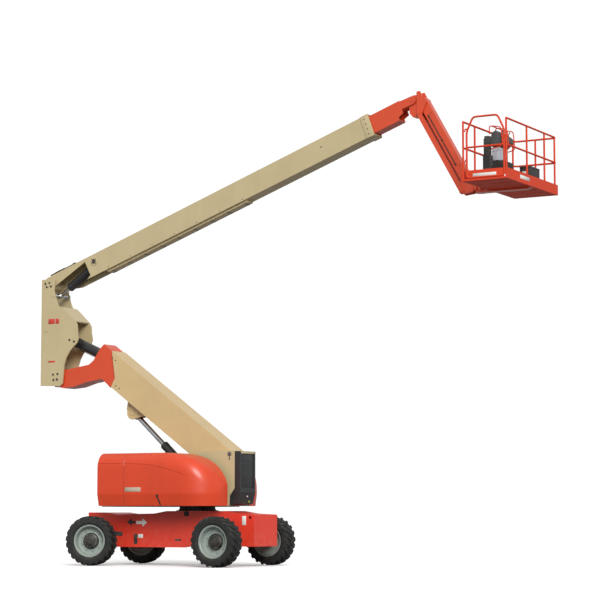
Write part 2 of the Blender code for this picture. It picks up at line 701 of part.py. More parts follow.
def neck_outline(grow):
    """Side outline of the gooseneck, from the fly's mouth down to the upright's foot pin."""
    ux, uz = UPRIGHT_FOOT
    top, bottom = TOWER_TOP - 0.01, TOWER_BOTTOM - 0.03
    mouth = -TOWER_LENGTH + 0.40
    end = -TOWER_LENGTH + grow
    points = [
        (mouth, bottom + grow), (mouth, bottom + 0.05), (mouth - 0.01, TOWER_TOP - 0.46),
        (-TOWER_LENGTH - 0.02, top - grow), (end - 0.27, top - grow), (end - 0.30, -0.10),
        (end - 0.29, -0.38), (end - 0.34, -0.52), (ux + 0.12 + grow, uz + 0.27 - grow),
    ]
    points += arc((ux, uz), 0.19 - grow, 100, 290, 8)
    points += [
        (ux + 0.27, uz - 0.10 + grow), (ux + 0.49, uz + 0.09 + grow), (ux + 0.69, uz + 0.34 + grow),
        (ux + 0.98, uz + 0.62 + grow * 0.4),
    ]
    return points


def make_tower_fly(slide):
    half = TOWER_HALF_WIDTH - TOWER_WALL - FLY_CLEARANCE
    low = TOWER_BOTTOM + TOWER_WALL + FLY_CLEARANCE
    high = TOWER_TOP - TOWER_WALL - FLY_CLEARANCE
    mouth = -TOWER_LENGTH + 0.40
    tube = block((mouth - 0.3, -half, low), (TOWER_FLY_INNER_END, half, high))
    neck = slab(neck_outline(0.0), -half, half)
    wall = TOWER_WALL
    bore = block(
        (mouth - 0.35, -half + wall, low + wall), (TOWER_FLY_INNER_END + 0.1, half - wall, high - wall)
    )
    pocket = slab(neck_outline(0.03), -half + wall, half - wall)
    foot_hole = pin_hole(*UPRIGHT_FOOT, MAIN_PIN_RADIUS, 0.5)
    tip = fuse("neck_hollow", [tube, neck], [bore, pocket], None, paint("boom_orange", ORANGE))
    foot_eye = cross_pin(*UPRIGHT_FOOT, 0.12, UPRIGHT_INNER - PIN_GAP)
    nx, nz = neck_pin_in_tower()
    neck_pin = cross_pin(nx, nz, PIN_RADIUS, half)
    slot = block((nx - 0.32, -0.115, nz - 0.26), (nx + 0.16, 0.115, nz + 0.13))
    body = fuse("neck_slotted", [tip, foot_eye], [slot, foot_hole], None, paint("boom_orange", ORANGE))
    fuse("tower_fly_boom", [body, neck_pin], (), slide, paint("boom_orange", ORANGE))


def neck_pin_in_tower():
    """The gooseneck's ram pin in the tower's own frame."""
    x, z = rotated(NECK_PIN, -TOWER_ANGLE)
    return (UPRIGHT_FOOT[0] + x, UPRIGHT_FOOT[1] + z)


def make_tower_ram(swing, lift, pivot):
    lx, lz = rotated(TOWER_LUG, TOWER_ANGLE)
    lug = (pivot[0] + lx, pivot[1] + lz)
    foot = TOWER_RAM_FOOT
    barrel_axis = axis_empty("tower_ram_axis", (foot[0], 0, foot[1]), aim(foot, lug), swing)
    rod_axis = axis_empty("tower_ram_slide", (0, 0, 0), 0.0, barrel_axis)
    length = distance(foot, lug)
    half_eye = LUG_INNER - PIN_GAP
    ram(
        "tower_lift", (barrel_axis, rod_axis), length, TOWER_RAM_RETRACT, TOWER_BARREL_LENGTH,
        TOWER_RAM_RADIUS, 0.05, 0.055, half_eye, half_eye - 0.001,
    )


# ---- upright ----------------------------------------------------------------------------------
def upright_outline():
    """Cheek of the upright, from its foot pin."""
    back = -0.378
    return [
        (back, 2.08), (back, -0.18), (0.126, -0.20), (0.185, -0.15), (0.21, 0.08), (0.225, 0.245),
        (0.275, 0.39),
        (0.35, 0.51), (0.45, 0.615), (0.55, 0.70), (0.585, 0.80), (0.56, 0.93), (0.55, 1.08), (0.50, 1.16),
        (0.26, 1.385), (0.155, 1.475), (0.065, 1.49), (0.0, 1.63), (-0.06, 1.85), (-0.035, 2.00),
        (-0.05, 2.08),
    ]


def make_upright(slide):
    ux, uz = UPRIGHT_FOOT
    level = axis_empty("upright_level_axis", (ux, 0, uz), -TOWER_ANGLE, slide)
    inner, plate = UPRIGHT_INNER, UPRIGHT_PLATE
    cheeks = [slab(upright_outline(), side * inner, side * (inner + plate)) for side in (-1, 1)]
    wide = inner + 0.01
    backs = [
        block((-0.378, -wide, low), (-0.353, wide, high))
        for low, high in ((0.30, LEVEL_PIN[1] - 0.17), (LEVEL_PIN[1] + 0.17, 1.55))
    ]
    cover = slab([(0.135, 1.455), (0.155, 1.474), (0.50, 1.159), (0.478, 1.135)], -wide, wide)
    main_pin = cross_pin(*MAIN_PIVOT, MAIN_PIN_RADIUS, inner + 0.035)
    foot_pin = cross_pin(0, 0, MAIN_PIN_RADIUS, inner + 0.035)
    rx, rz = MAIN_PIVOT[0] + MAIN_RAM_FOOT[0], MAIN_PIVOT[1] + MAIN_RAM_FOOT[1]
    caps = pin_caps(rx, rz, inner + plate) + pin_caps(*LEVEL_PIN, inner + plate)
    solids = cheeks + backs + caps + [cover, main_pin, foot_pin]
    fuse("upright", solids, (), level, paint("boom_cream", CREAM))
    make_level_ram(slide)
    return level


def make_level_ram(slide):
    """Levelling ram: its barrel hangs in the gooseneck and its rod's eye sits on the upright's pin."""
    start = neck_pin_in_tower()
    x, z = rotated(LEVEL_PIN, -TOWER_ANGLE)
    end = (UPRIGHT_FOOT[0] + x, UPRIGHT_FOOT[1] + z)
    barrel_axis = axis_empty("level_ram_axis", (start[0], 0, start[1]), aim(start, end), slide)
    rod_axis = axis_empty("level_ram_slide", (0, 0, 0), 0.0, barrel_axis)
    ram(
        "level", (barrel_axis, rod_axis), distance(start, end), LEVEL_RAM_RETRACT,
        LEVEL_BARREL_LENGTH, LEVEL_RAM_RADIUS, 0.05, 0.085, 0.11, UPRIGHT_INNER - 0.002,
    )


# ---- main boom --------------------------------------------------------------------------------
def make_main_boom(level):
    lift = axis_empty("main_lift_axis", (MAIN_PIVOT[0], 0, MAIN_PIVOT[1]), -MAIN_ANGLE, level)
    make_main_base(lift)
    slide = axis_empty("main_telescope_axis", (0, 0, 0), 0.0, lift)
    make_main_fly(slide)
    make_main_ram(lift)
    return slide


def make_main_base(lift):
    half, wall = MAIN_HALF_WIDTH, MAIN_WALL
    outline = arc((0, 0), 0.185, 100, 250, 8) + [
        (0.10, -0.17), (0.26, -0.17), (0.55, MAIN_BOTTOM), (MAIN_LENGTH, MAIN_BOTTOM),
        (MAIN_LENGTH, MAIN_TOP), (0.30, MAIN_TOP),
    ]
    shell = slab(outline, -half, half)
    roof = MAIN_TOP - wall
    bore = block(
        (MAIN_CHANNEL, -half + wall, MAIN_BOTTOM + wall), (MAIN_LENGTH + 0.1, half - wall, roof)
    )
    channel = block(
        (-0.40, -half + wall, MAIN_BOTTOM - 0.1), (MAIN_CHANNEL - 0.05, half - wall, roof)
    )
    opening = [(0.0, -0.12), (0.12, -0.06), (0.98, 0.12), (1.02, -0.20), (0.60, -0.4), (0.0, -0.4)]
    window = slab(opening, -half - 0.1, -half + wall + 0.01)
    cream = paint("boom_cream", CREAM)
    hollow = fuse("main_hollow", [shell], [bore, channel, window], None, cream)
    tray = block((1.42, -0.11, MAIN_BOTTOM - 0.045), (5.04, 0.11, MAIN_BOTTOM + 0.002))
    rx, rz = MAIN_RAM_PIN
    ram_pin = cross_pin(rx, rz, PIN_RADIUS, half + 0.018)
    pivot_eye = cross_pin(0, 0, 0.11, UPRIGHT_INNER - PIN_GAP)
    pivot_hole = pin_hole(0, 0, MAIN_PIN_RADIUS, 0.5)
    fly_half = half - wall - FLY_CLEARANCE
    pads = [
        block((MAIN_LENGTH - 0.14, -fly_half + 0.02, low), (MAIN_LENGTH - 0.02, fly_half - 0.02, high))
        for low, high in (
            (MAIN_BOTTOM + wall - 0.002, MAIN_BOTTOM + wall + FLY_CLEARANCE - PIN_GAP),
            (MAIN_TOP - wall - FLY_CLEARANCE + PIN_GAP, MAIN_TOP - wall + 0.002),
        )
    ]
    side_bosses = [
        rod((rx, side * 0.0805, rz), (rx, side * (half + 0.012), rz), 0.085, 24) for side in (-1, 1)
    ]
    solids = [hollow, tray, pivot_eye, ram_pin] + side_bosses + pads
    fuse("main_base_boom", solids, [pivot_hole], lift, cream)


def main_fly_section():
    half = MAIN_HALF_WIDTH - MAIN_WALL - FLY_CLEARANCE
    return half, MAIN_BOTTOM + MAIN_WALL + FLY_CLEARANCE, MAIN_TOP - MAIN_WALL - FLY_CLEARANCE


def make_main_fly(slide):
    half, low, high = main_fly_section()
    wall = MAIN_WALL
    kx, kz = KNUCKLE_PIN
    tube = block((MAIN_FLY_INNER_END, -half, low), (MAIN_FLY_END, half, high))
    bore = block(
        (MAIN_FLY_INNER_END - 0.1, -half + wall, low + wall), (MAIN_FLY_END + 0.1, half - wall, high - wall)
    )
    knuckle_room = slab(
        [(kx - 0.38, low - 0.1), (kx - 0.38, kz - 0.189), (kx - 0.22, kz - 0.146), (kx - 0.22, low - 0.1)],
        -half - 0.1, half + 0.1,
    )
    root = MAIN_FLY_END - 0.30
    ear = [(root, high - 0.002), (root, kz - 0.06), (kx, kz - 0.08), *arc((kx, kz), 0.08, -80, 90, 7)]
    ears = [slab(ear, side * 0.0965, side * half) for side in (-1, 1)]
    pin = cross_pin(kx, kz, PIN_RADIUS, half)
    shell = fuse("fly_hollow", [tube], [bore, knuckle_room], None, paint("boom_orange", ORANGE))
    fuse("main_fly_boom", [shell] + ears + [pin], (), slide, paint("boom_orange", ORANGE))


def make_main_ram(lift):
    fx, fz = rotated(MAIN_RAM_FOOT, MAIN_ANGLE)
    foot = (fx, fz)
    pin = (MAIN_RAM_PIN[0], 0, MAIN_RAM_PIN[1])
    barrel_axis = axis_empty("main_ram_axis", pin, aim(MAIN_RAM_PIN, foot), lift)
    rod_axis = axis_empty("main_ram_slide", (0, 0, 0), 0.0, barrel_axis)
    ram(
        "main_lift", (barrel_axis, rod_axis), distance(MAIN_RAM_PIN, foot), MAIN_RAM_RETRACT,
        MAIN_BARREL_LENGTH, MAIN_RAM_RADIUS, 0.045, 0.06, 0.08, UPRIGHT_INNER - 0.002,
    )


# ---- knuckle and jib --------------------------------------------------------------------------
def ear_inner():
    return JIB_HALF_WIDTH + WORK_GAP


def link_pins(x, z):
    """Stub pins that carry the lower links, on the ears' outer faces."""
    face = ear_inner() + EAR_THICKNESS
    end = face + LINK_THICKNESS + PIN_CAP
    return [
        rod((x, side * (face - 0.01), z), (x, side * end, z), LINK_PIN_RADIUS, PIN_SIDES)
        for side in (-1, 1)
    ]


def make_platform_knuckle(slide):
    kx, kz = KNUCKLE_PIN
    level = axis_empty("knuckle_level_axis", (kx, 0, kz), MAIN_ANGLE, slide)
    jx, jz = JIB_PIVOT
    lx, lz = jx + LINK_DROP[0], jz + LINK_DROP[1]
    tongue = arc((0, 0), 0.085, 100, 200, 5)
    tongue += [(-0.07, -0.25), (0.0, -0.33), (0.112, -0.33), (0.112, 0.10), (0.0, 0.10)]
    centre = slab(tongue, -0.096 + PIN_GAP, 0.096 - PIN_GAP)
    inner = ear_inner()
    ear = [
        (0.092, 0.16), (0.092, lz - 0.06), *arc((lx, lz), 0.06, 240, 350, 4),
        (jx + 0.09, jz - 0.04), *arc((jx, jz), 0.09, 0, 80, 4), (0.16, 0.17),
    ]
    ears = [slab(ear, side * (inner - 0.004), side * (inner + EAR_THICKNESS)) for side in (-1, 1)]
    web = block((0.092, -inner - 0.001, -0.30), (0.110, inner + 0.001, 0.155))
    pins = [cross_pin(jx, jz, PIN_RADIUS, inner + EAR_THICKNESS)]
    pins += link_pins(lx, lz)
    knuckle_hole = pin_hole(0, 0, PIN_RADIUS, 0.5)
    fuse("platform_knuckle", [centre, web] + ears + pins, [knuckle_hole], level, paint("boom_orange", ORANGE))
    return level


def make_jib(level):
    jx, jz = JIB_PIVOT
    lift = axis_empty("jib_lift_axis", (jx, 0, jz), -JIB_ANGLE, level)
    half = JIB_DEPTH / 2
    outline = arc((0, 0), half, 90, 270, 10) + arc((JIB_LENGTH, 0), half, -90, 90, 10)
    bar = slab(outline, -JIB_HALF_WIDTH, JIB_HALF_WIDTH)
    inside = block(
        (0.14, -JIB_HALF_WIDTH + 0.01, -half + 0.01), (JIB_LENGTH - 0.14, JIB_HALF_WIDTH - 0.01, half - 0.01)
    )
    drain = block((0.25, -0.04, -half - 0.05), (0.45, 0.04, 0.0))
    eyes = [cross_pin(x, 0, 0.06, ear_inner() - 0.0045) for x in (0, JIB_LENGTH)]
    holes = [pin_hole(x, 0, PIN_RADIUS, 0.5) for x in (0, JIB_LENGTH)]
    fuse("jib_boom", [bar] + eyes, [inside, drain] + holes, lift, paint("boom_orange", ORANGE))
    link = axis_empty("jib_link_axis", (jx + LINK_DROP[0], 0, jz + LINK_DROP[1]), -JIB_ANGLE, level)
    for side_name, side in (("right", -1), ("left", 1)):
        depth = LINK_DEPTH / 2
        strip = arc((0, 0), depth, 90, 270, 8) + arc((JIB_LENGTH, 0), depth, -90, 90, 8)
        y = ear_inner() + EAR_THICKNESS + PIN_GAP
        plate = slab(strip, side * y, side * (y + LINK_THICKNESS))
        bores = [pin_hole(x, 0, LINK_PIN_RADIUS, 0.5) for x in (0, JIB_LENGTH)]
        fuse(f"jib_link_{side_name}", [plate], bores, link, paint("boom_orange", ORANGE))
    return lift


def make_jib_head(lift):
    head = axis_empty("jib_head_axis", (JIB_LENGTH, 0, 0), JIB_ANGLE, lift)
    inner = ear_inner()
    lx, lz = LINK_DROP
    front = ROTATOR_AHEAD - ROTATOR_FLANGE - WORK_GAP
    ear = [
        *arc((0, 0), 0.085, 60, 190, 6), (lx - 0.06, lz), *arc((lx, lz), 0.06, 190, 300, 4),
        (front, lz - 0.03), (front, 0.06),
    ]
    ears = [slab(ear, side * (inner - 0.004), side * (inner + EAR_THICKNESS)) for side in (-1, 1)]
    web = block(
        (0.105, -inner - 0.001, lz + 0.005), (ROTATOR_AHEAD - ROTATOR_RADIUS + 0.02, inner + 0.001, 0.03)
    )
    pins = [cross_pin(0, 0, PIN_RADIUS, inner + EAR_THICKNESS)]
    pins += link_pins(lx, lz)
    post = rod((ROTATOR_AHEAD, 0, -0.24), (ROTATOR_AHEAD, 0, 0.04), ROTATOR_RADIUS, 28)
    fuse("jib_head", ears + [web, post] + pins, (), head, paint("boom_orange", ORANGE))
    return head


# ---- platform ---------------------------------------------------------------------------------
def tube(points, radius=RAIL_RADIUS, sides=8, closed=False):
    """A round tube along a path, mitred at its corners."""
    points = [Vector(point) for point in points]
    count = len(points)
    rings = []
    bm = bmesh.new()
    for i, point in enumerate(points):
        before = points[i - 1] if i or closed else point - (points[1] - point)
        last = i == count - 1 and not closed
        after = point + (point - points[i - 1]) if last else points[(i + 1) % count]
        way_in, way_out = (point - before).normalized(), (after - point).normalized()
        lean = Vector((0.2, 0.3, 0.93)) if abs(way_in.z) < 0.9 else Vector((0.93, 0.3, 0.1))
        side = way_in.cross(lean).normalized()
        up = way_in.cross(side).normalized()
        plane = (way_in + way_out).normalized()
        ring = []
        for step in range(sides):
            angle = math.tau * (step + 0.5) / sides
            spoke = point + radius * (side * math.cos(angle) + up * math.sin(angle))
            slip = (point - spoke).dot(plane) / way_in.dot(plane)
            ring.append(bm.verts.new(spoke + way_in * slip))
        rings.append(ring)
    for one, two in zip(rings, rings[1:] + (rings[:1] if closed else [])):
        offset = nearest_offset(one, two)
        for i in range(sides):
            j = (i + 1) % sides
            k, l = (i + offset) % sides, (j + offset) % sides
            bm.faces.new((one[i], one[j], two[l], two[k]))
    if not closed:
        bm.faces.new(rings[0])
        bm.faces.new(rings[-1])
    return mesh_object(bm)


def nearest_offset(one, two):
    """How many steps round its ring each point of the second ring lies from the first ring's."""
    centres = [sum((v.co for v in ring), Vector()) / len(ring) for ring in (one, two)]
    way = (centres[1] - centres[0]).normalized()
    start = one[0].co
    best = min(
        range(len(two)),
        key=lambda k: ((two[k].co - start) - way * (two[k].co - start).dot(way)).length,
    )
    return best


def make_platform(head):
    turn = axis_empty("platform_rotate_axis", (ROTATOR_AHEAD, 0, 0), 0.0, head)
    near, far = PLATFORM_BEHIND, PLATFORM_BEHIND + PLATFORM_WIDTH
    half = PLATFORM_LENGTH / 2
    under = -DECK_DROP
    orange = paint("platform_orange", ORANGE)
    top_plate = rod((0, 0, 0.04 + PIN_GAP), (0, 0, 0.085), ROTATOR_FLANGE, 28)
    foot_plate = rod((0, 0, -0.285), (0, 0, -0.24 - PIN_GAP), ROTATOR_FLANGE, 28)
    upper_arm = block((0, -0.09, 0.045), (near - 0.002 - SEAT_GAP, 0.09, 0.08))
    heel = ROTATOR_RADIUS + 0.02
    back = block((heel, -0.09, -0.28), (near - 0.002 - SEAT_GAP, 0.09, 0.08))
    foot = [
        (0.0, -0.285), (far - 0.10, -0.285), (far - 0.02, under - SEAT_GAP), (heel, under - SEAT_GAP),
        (heel, -0.24 - PIN_GAP), (0.0, -0.24 - PIN_GAP),
    ]
    foot_arm = slab(foot, -0.09, 0.09)
    solids = [back, top_plate, foot_plate, upper_arm, foot_arm]
    fuse("platform_support", solids, (), turn, orange)
    make_platform_floor(turn, near, far, half, under, orange)
    make_rails(turn, near, far, half, under, orange)
    make_gate(turn, near, far, half, under, orange)
    make_fittings(turn, near, far, under)
    return turn


def make_platform_floor(turn, near, far, half, under, orange):
    wall = 0.012
    rim = block((near, -half, under), (far, half, under + TOE_HEIGHT))
    rim_top = under + TOE_HEIGHT + 0.1
    room = block((near + wall, -half + wall, under + 0.03), (far - wall, half - wall, rim_top))
    gate_gap = block((near + 0.045, -half - 0.05, under + 0.036), (far - 0.038, -half + 0.05, rim_top))
    fuse("platform_floor", [rim], [room, gate_gap], turn, orange)


def make_rails(turn, near, far, half, under, orange):
    inset = RAIL_RADIUS + 0.001
    x0, x1 = near + inset, far - inset
    y0, y1 = -half + inset, half - inset
    base = under + TOE_HEIGHT + SEAT_GAP
    top = under + RAIL_HEIGHT - RAIL_RADIUS
    middle = (base + top) / 2 - 0.03
    solids = []
    for z in (top, middle):
        solids.append(tube([(x0, y0, z), (x0, y1, z), (x1, y1, z), (x1, y0, z)]))
    for x, ys in ((x0, (y0, -0.68, 0.20, y1)), (x1, (y0, -0.25, 0.60, y1))):
        for y in ys:
            solids.append(tube([(x, y, base), (x, y, top)]))
    solids.append(tube([((x0 + x1) / 2, y1, base), ((x0 + x1) / 2, y1, top)]))
    for z in gate_hinges(under):
        lug_end = (x0 + GATE_HINGE + 0.001, y0 + GATE_LUG_HALF, z)
        solids.append(block((x0 + 0.01, y0 - GATE_LUG_HALF, z - 0.03), lug_end))
    return fuse("platform_rails", solids, (), turn, orange, 40)


def gate_hinges(under):
    return (under + 0.38, under + RAIL_HEIGHT - 0.18)


def make_gate(turn, near, far, half, under, orange):
    """Hoop gate in the short side, hinged on the boom-side post and swinging inwards."""
    inset = RAIL_RADIUS + 0.001
    x0, x1 = near + inset, far - inset
    y = -half + inset
    top = under + RAIL_HEIGHT - RAIL_RADIUS
    low = under + 0.06
    pivot = axis_empty("gate_axis", (x0 + GATE_HINGE, y, 0), 0.0, turn)
    start, end = 0.028, x1 - x0 - GATE_HINGE - RAIL_RADIUS * 2 - 0.006
    rise = 0.075
    hoop = [
        (start, 0, low), (start, 0, top - 0.02), (start + 0.04, 0, top + 0.04),
        (start + 0.11, 0, top + rise),
        (end - 0.11, 0, top + rise), (end - 0.04, 0, top + 0.04), (end, 0, top - 0.02),
    ]
    middle = (under + TOE_HEIGHT + top) / 2 - 0.03
    solids = [tube(hoop + [(end, 0, low)], closed=True)]
    solids.append(tube([(start, 0, middle), (end, 0, middle)]))
    for z in gate_hinges(under):
        lug_end = (start + 0.007, GATE_LUG_HALF, z + 0.03)
        solids.append(block((-0.010, -GATE_LUG_HALF, z + PIN_GAP), lug_end))
    fuse("platform_gate", solids, (), pivot, orange, 40)


def make_fittings(turn, near, far, under):
    """Control console on the boom side, its pedestal, and the tool box on the far rail."""
    inset = RAIL_RADIUS + 0.001
    rail_face = near + inset + RAIL_RADIUS + SEAT_GAP
    top = under + RAIL_HEIGHT
    outline = [
        (rail_face, top - 0.30), (rail_face, top - 0.02), (rail_face + 0.10, top + 0.02),
        (rail_face + 0.26, top - 0.10), (rail_face + 0.26, top - 0.20), (rail_face + 0.14, top - 0.30),
    ]
    console = slab(outline, 0.02, 0.52)
    fuse("control_console", [console], (), turn, paint("console_grey", GREY, 0.5))
    floor = under + 0.03 + SEAT_GAP
    column = block((rail_face, -0.36, floor), (rail_face + 0.14, -0.20, under + 0.62))
    fuse("power_column", [column], (), turn, paint("column_black", BLACK, 0.5))
    box_x = far - inset - RAIL_RADIUS - SEAT_GAP
    box = block((box_x - 0.22, -0.05, floor), (box_x, 0.42, under + 0.40))
    fuse("tool_box", [box], (), turn, paint("toolbox_black", BLACK, 0.5))


# ---- whole machine ----------------------------------------------------------------------------
def centre_on_base(root):
    """Moves the root so that the base of the whole machine's box is centred on the world origin."""
    bpy.context.view_layer.update()
    low, high = Vector((1e9,) * 3), Vector((-1e9,) * 3)
    for item in bpy.context.scene.objects:
        if item.type != "MESH":
            continue
        for vert in item.data.vertices:
            place = item.matrix_world @ vert.co
            low = Vector(map(min, low, place))
            high = Vector(map(max, high, place))
    middle = (low + high) / 2
    root.location = (-middle.x, -middle.y, -low.z)


def main():
    clear_scene()
    root = axis_empty("machine", (0, 0, 0))
    make_chassis(root)
    make_axles(root)
    make_running_gear(root)
    swing = axis_empty("swing_axis", (0, 0, 0), 0.0, root)
    make_turntable(swing)
    make_end_box(swing)
    make_hoods(swing)
    make_heavy_masses(swing)
    tower_slide = make_tower(swing)
    level = make_upright(tower_slide)
    main_slide = make_main_boom(level)
    knuckle = make_platform_knuckle(main_slide)
    jib = make_jib(knuckle)
    head = make_jib_head(jib)
    make_platform(head)
    centre_on_base(root)


main()
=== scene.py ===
"""Articulating boom lift: the fine pieces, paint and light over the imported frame.

Metres, +Z up. +X runs from the steer axle to the drive axle and +Y to the machine's left.
"""

import math

import bmesh
import bpy
from mathutils import Matrix, Vector


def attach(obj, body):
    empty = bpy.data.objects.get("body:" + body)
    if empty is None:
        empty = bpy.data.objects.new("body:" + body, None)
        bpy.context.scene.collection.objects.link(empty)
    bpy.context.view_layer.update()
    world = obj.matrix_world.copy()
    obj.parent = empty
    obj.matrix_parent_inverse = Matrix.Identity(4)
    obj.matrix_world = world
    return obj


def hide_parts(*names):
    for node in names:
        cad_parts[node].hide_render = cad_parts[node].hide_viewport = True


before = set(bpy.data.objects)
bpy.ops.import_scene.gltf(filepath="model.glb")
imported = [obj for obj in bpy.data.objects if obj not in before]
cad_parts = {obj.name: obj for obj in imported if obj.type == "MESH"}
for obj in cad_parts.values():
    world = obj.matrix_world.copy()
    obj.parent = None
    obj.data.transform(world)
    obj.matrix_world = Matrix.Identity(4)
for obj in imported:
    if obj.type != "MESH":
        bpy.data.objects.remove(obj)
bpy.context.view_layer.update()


# ---- Chassis frame ----------------------------------------------------------------------------
# A welded box frame of steel plate in orange enamel, which gathers road dirt below and chips
# along its edges. Its blank plates and arrows are on both long sides, and its openings and tie-down
# hole are thin black plates there: painted shade for the dark insides of the holes.
def tone(red, green, blue):
    """A screen colour as the linear colour that a shader takes."""
    parts = []
    for part in (red, green, blue):
        share = part / 255
        parts.append(share / 12.92 if share <= 0.04045 else ((share + 0.055) / 1.055) ** 2.4)
    return (*parts, 1.0)


def new_group(name, inputs, outputs):
    """An empty shader group with its named inputs and outputs, and a way to add to it."""
    tree = bpy.data.node_groups.new(name, "ShaderNodeTree")
    for label, kind in inputs:
        tree.interface.new_socket(label, in_out="INPUT", socket_type=f"NodeSocket{kind}")
    for label, kind in outputs:
        tree.interface.new_socket(label, in_out="OUTPUT", socket_type=f"NodeSocket{kind}")
    return tree, tree.nodes.new("NodeGroupInput"), tree.nodes.new("NodeGroupOutput")


def add_node(tree, kind, inputs=(), **settings):
    """A node with its settings, and each input either joined to a socket or given a value."""
    node = tree.nodes.new(kind)
    for key, value in settings.items():
        setattr(node, key, value)
    for key, value in dict(inputs).items():
        if isinstance(value, bpy.types.NodeSocket):
            tree.links.new(value, node.inputs[key])
        else:
            node.inputs[key].default_value = value
    return node


def noise_of(tree, coord, scale, detail=3.0, roughness=0.55):
    return add_node(
        tree, "ShaderNodeTexNoise",
        {"Vector": coord, "Scale": scale, "Detail": detail, "Roughness": roughness},
    ).outputs[0]


def span(tree, value, low, high, to_low=0.0, to_high=1.0):
    """The value run from one span to another and held inside it."""
    return add_node(
        tree, "ShaderNodeMapRange",
        {"Value": value, "From Min": low, "From Max": high, "To Min": to_low, "To Max": to_high},
    ).outputs[0]


def sum_of(tree, operation, first, second):
    return add_node(tree, "ShaderNodeMath", {0: first, 1: second}, operation=operation).outputs[0]


def blend_of(tree, share, first, second):
    node = add_node(tree, "ShaderNodeMix", data_type="RGBA")
    for key, value in ((0, share), (6, first), (7, second)):
        if isinstance(value, bpy.types.NodeSocket):
            tree.links.new(value, node.inputs[key])
        else:
            node.inputs[key].default_value = value
    return node.outputs[2]


def worn_paint_group():
    """Enamel on steel: cloudy tone, rain streaks, chipped edges, dust above and dirt below."""
    tree, given, made = new_group(
        "worn enamel",
        (("Paint", "Color"), ("Bare", "Color"), ("Dust", "Color"), ("Wear", "Float"),
         ("Dustiness", "Float"), ("Roughness", "Float"), ("Dirt Height", "Float")),
        (("Color", "Color"), ("Roughness", "Float"), ("Normal", "Vector")),
    )
    where = add_node(tree, "ShaderNodeTexCoord")
    place = where.outputs["Object"]
    cloud = span(tree, noise_of(tree, place, 1.7), 0.3, 0.7, 0.95, 1.04)
    stretched = add_node(tree, "ShaderNodeMapping", {"Vector": place, "Scale": (4.5, 4.5, 0.5)})
    streak = span(tree, noise_of(tree, stretched.outputs[0], 1.0, 2.0), 0.52, 0.78)
    rounded = add_node(tree, "ShaderNodeBevel", {"Radius": 0.006}, samples=4)
    flat = add_node(tree, "ShaderNodeNewGeometry")
    alike = add_node(
        tree, "ShaderNodeVectorMath", {0: rounded.outputs[0], 1: flat.outputs["Normal"]},
        operation="DOT_PRODUCT",
    ).outputs["Value"]
    edge = span(tree, alike, 0.985, 0.86)
    patchy = span(tree, noise_of(tree, place, 23.0), 0.46, 0.62)
    chipped = sum_of(tree, "MULTIPLY", edge, patchy)
    speck = span(tree, noise_of(tree, place, 74.0, 2.0), 0.70, 0.76)
    worn = sum_of(tree, "MULTIPLY", sum_of(tree, "MAXIMUM", chipped, speck), given.outputs["Wear"])
    facing = add_node(tree, "ShaderNodeSeparateXYZ", {0: where.outputs["Normal"]}).outputs["Z"]
    height = add_node(tree, "ShaderNodeSeparateXYZ", {0: place}).outputs["Z"]
    settled = sum_of(
        tree, "MULTIPLY", span(tree, facing, 0.35, 1.0), span(tree, noise_of(tree, place, 5.0), 0.3, 0.7)
    )
    share = sum_of(tree, "DIVIDE", height, given.outputs["Dirt Height"])
    splashed = sum_of(
        tree, "MULTIPLY", span(tree, share, 1.0, 0.25), span(tree, noise_of(tree, place, 9.0), 0.36, 0.66)
    )
    dusty = sum_of(
        tree, "MULTIPLY", sum_of(tree, "MAXIMUM", settled, splashed), given.outputs["Dustiness"]
    )
    fresh = add_node(tree, "ShaderNodeHueSaturation", {"Value": cloud, "Color": given.outputs["Paint"]})
    faded = add_node(tree, "ShaderNodeHueSaturation", {
        "Value": span(tree, streak, 0.0, 1.0, 1.0, 0.955), "Color": fresh.outputs[0],
    })
    chips = blend_of(tree, worn, faded.outputs[0], given.outputs["Bare"])
    color = blend_of(tree, dusty, chips, given.outputs["Dust"])
    rough = sum_of(tree, "ADD", given.outputs["Roughness"], span(tree, dusty, 0.0, 1.0, 0.0, 0.4))
    rough = sum_of(tree, "ADD", rough, span(tree, streak, 0.0, 1.0, 0.0, 0.07))
    peel = noise_of(tree, place, 160.0, 1.0)
    relief = sum_of(tree, "SUBTRACT", span(tree, peel, 0.0, 1.0, 0.0, 0.25), worn)
    bump = add_node(tree, "ShaderNodeBump", {
        "Strength": 0.30, "Distance": 0.0012, "Height": relief, "Normal": rounded.outputs[0],
    })
    tree.links.new(color, made.inputs["Color"])
    tree.links.new(rough, made.inputs["Roughness"])
    tree.links.new(bump.outputs[0], made.inputs["Normal"])
    return tree


worn_enamel = worn_paint_group()


def finish_from(name, group, values, shader_values):
    """A material whose colour, roughness and normal come from a group, the rest from the shader."""
    material = bpy.data.materials.new(name)
    material.use_nodes = True
    tree = material.node_tree
    shader = tree.nodes["Principled BSDF"]
    effect = tree.nodes.new("ShaderNodeGroup")
    effect.node_tree = group
    for key, value in values.items():
        effect.inputs[key].default_value = value
    tree.links.new(effect.outputs["Color"], shader.inputs["Base Color"])
    tree.links.new(effect.outputs["Roughness"], shader.inputs["Roughness"])
    tree.links.new(effect.outputs["Normal"], shader.inputs["Normal"])
    for key, value in shader_values.items():
        shader.inputs[key].default_value = value
    return material


def enamel(name, paint, rough=0.38, wear=0.6, dust=0.25, coat=0.25, dirt_height=0.6, bare=None):
    values = {
        "Paint": paint, "Bare": bare or tone(120, 112, 104), "Dust": tone(178, 166, 146),
        "Wear": wear, "Dustiness": dust, "Roughness": rough, "Dirt Height": dirt_height,
    }
    shader = {"Coat Weight": coat, "Coat Roughness": 0.18, "IOR": 1.5}
    return finish_from(name, worn_enamel, values, shader)


def repaint(material, *nodes):
    """Gives CAD nodes a finish in place of their stand-in material."""
    for node in nodes:
        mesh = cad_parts[node].data
        mesh.materials.clear()
        mesh.materials.append(material)


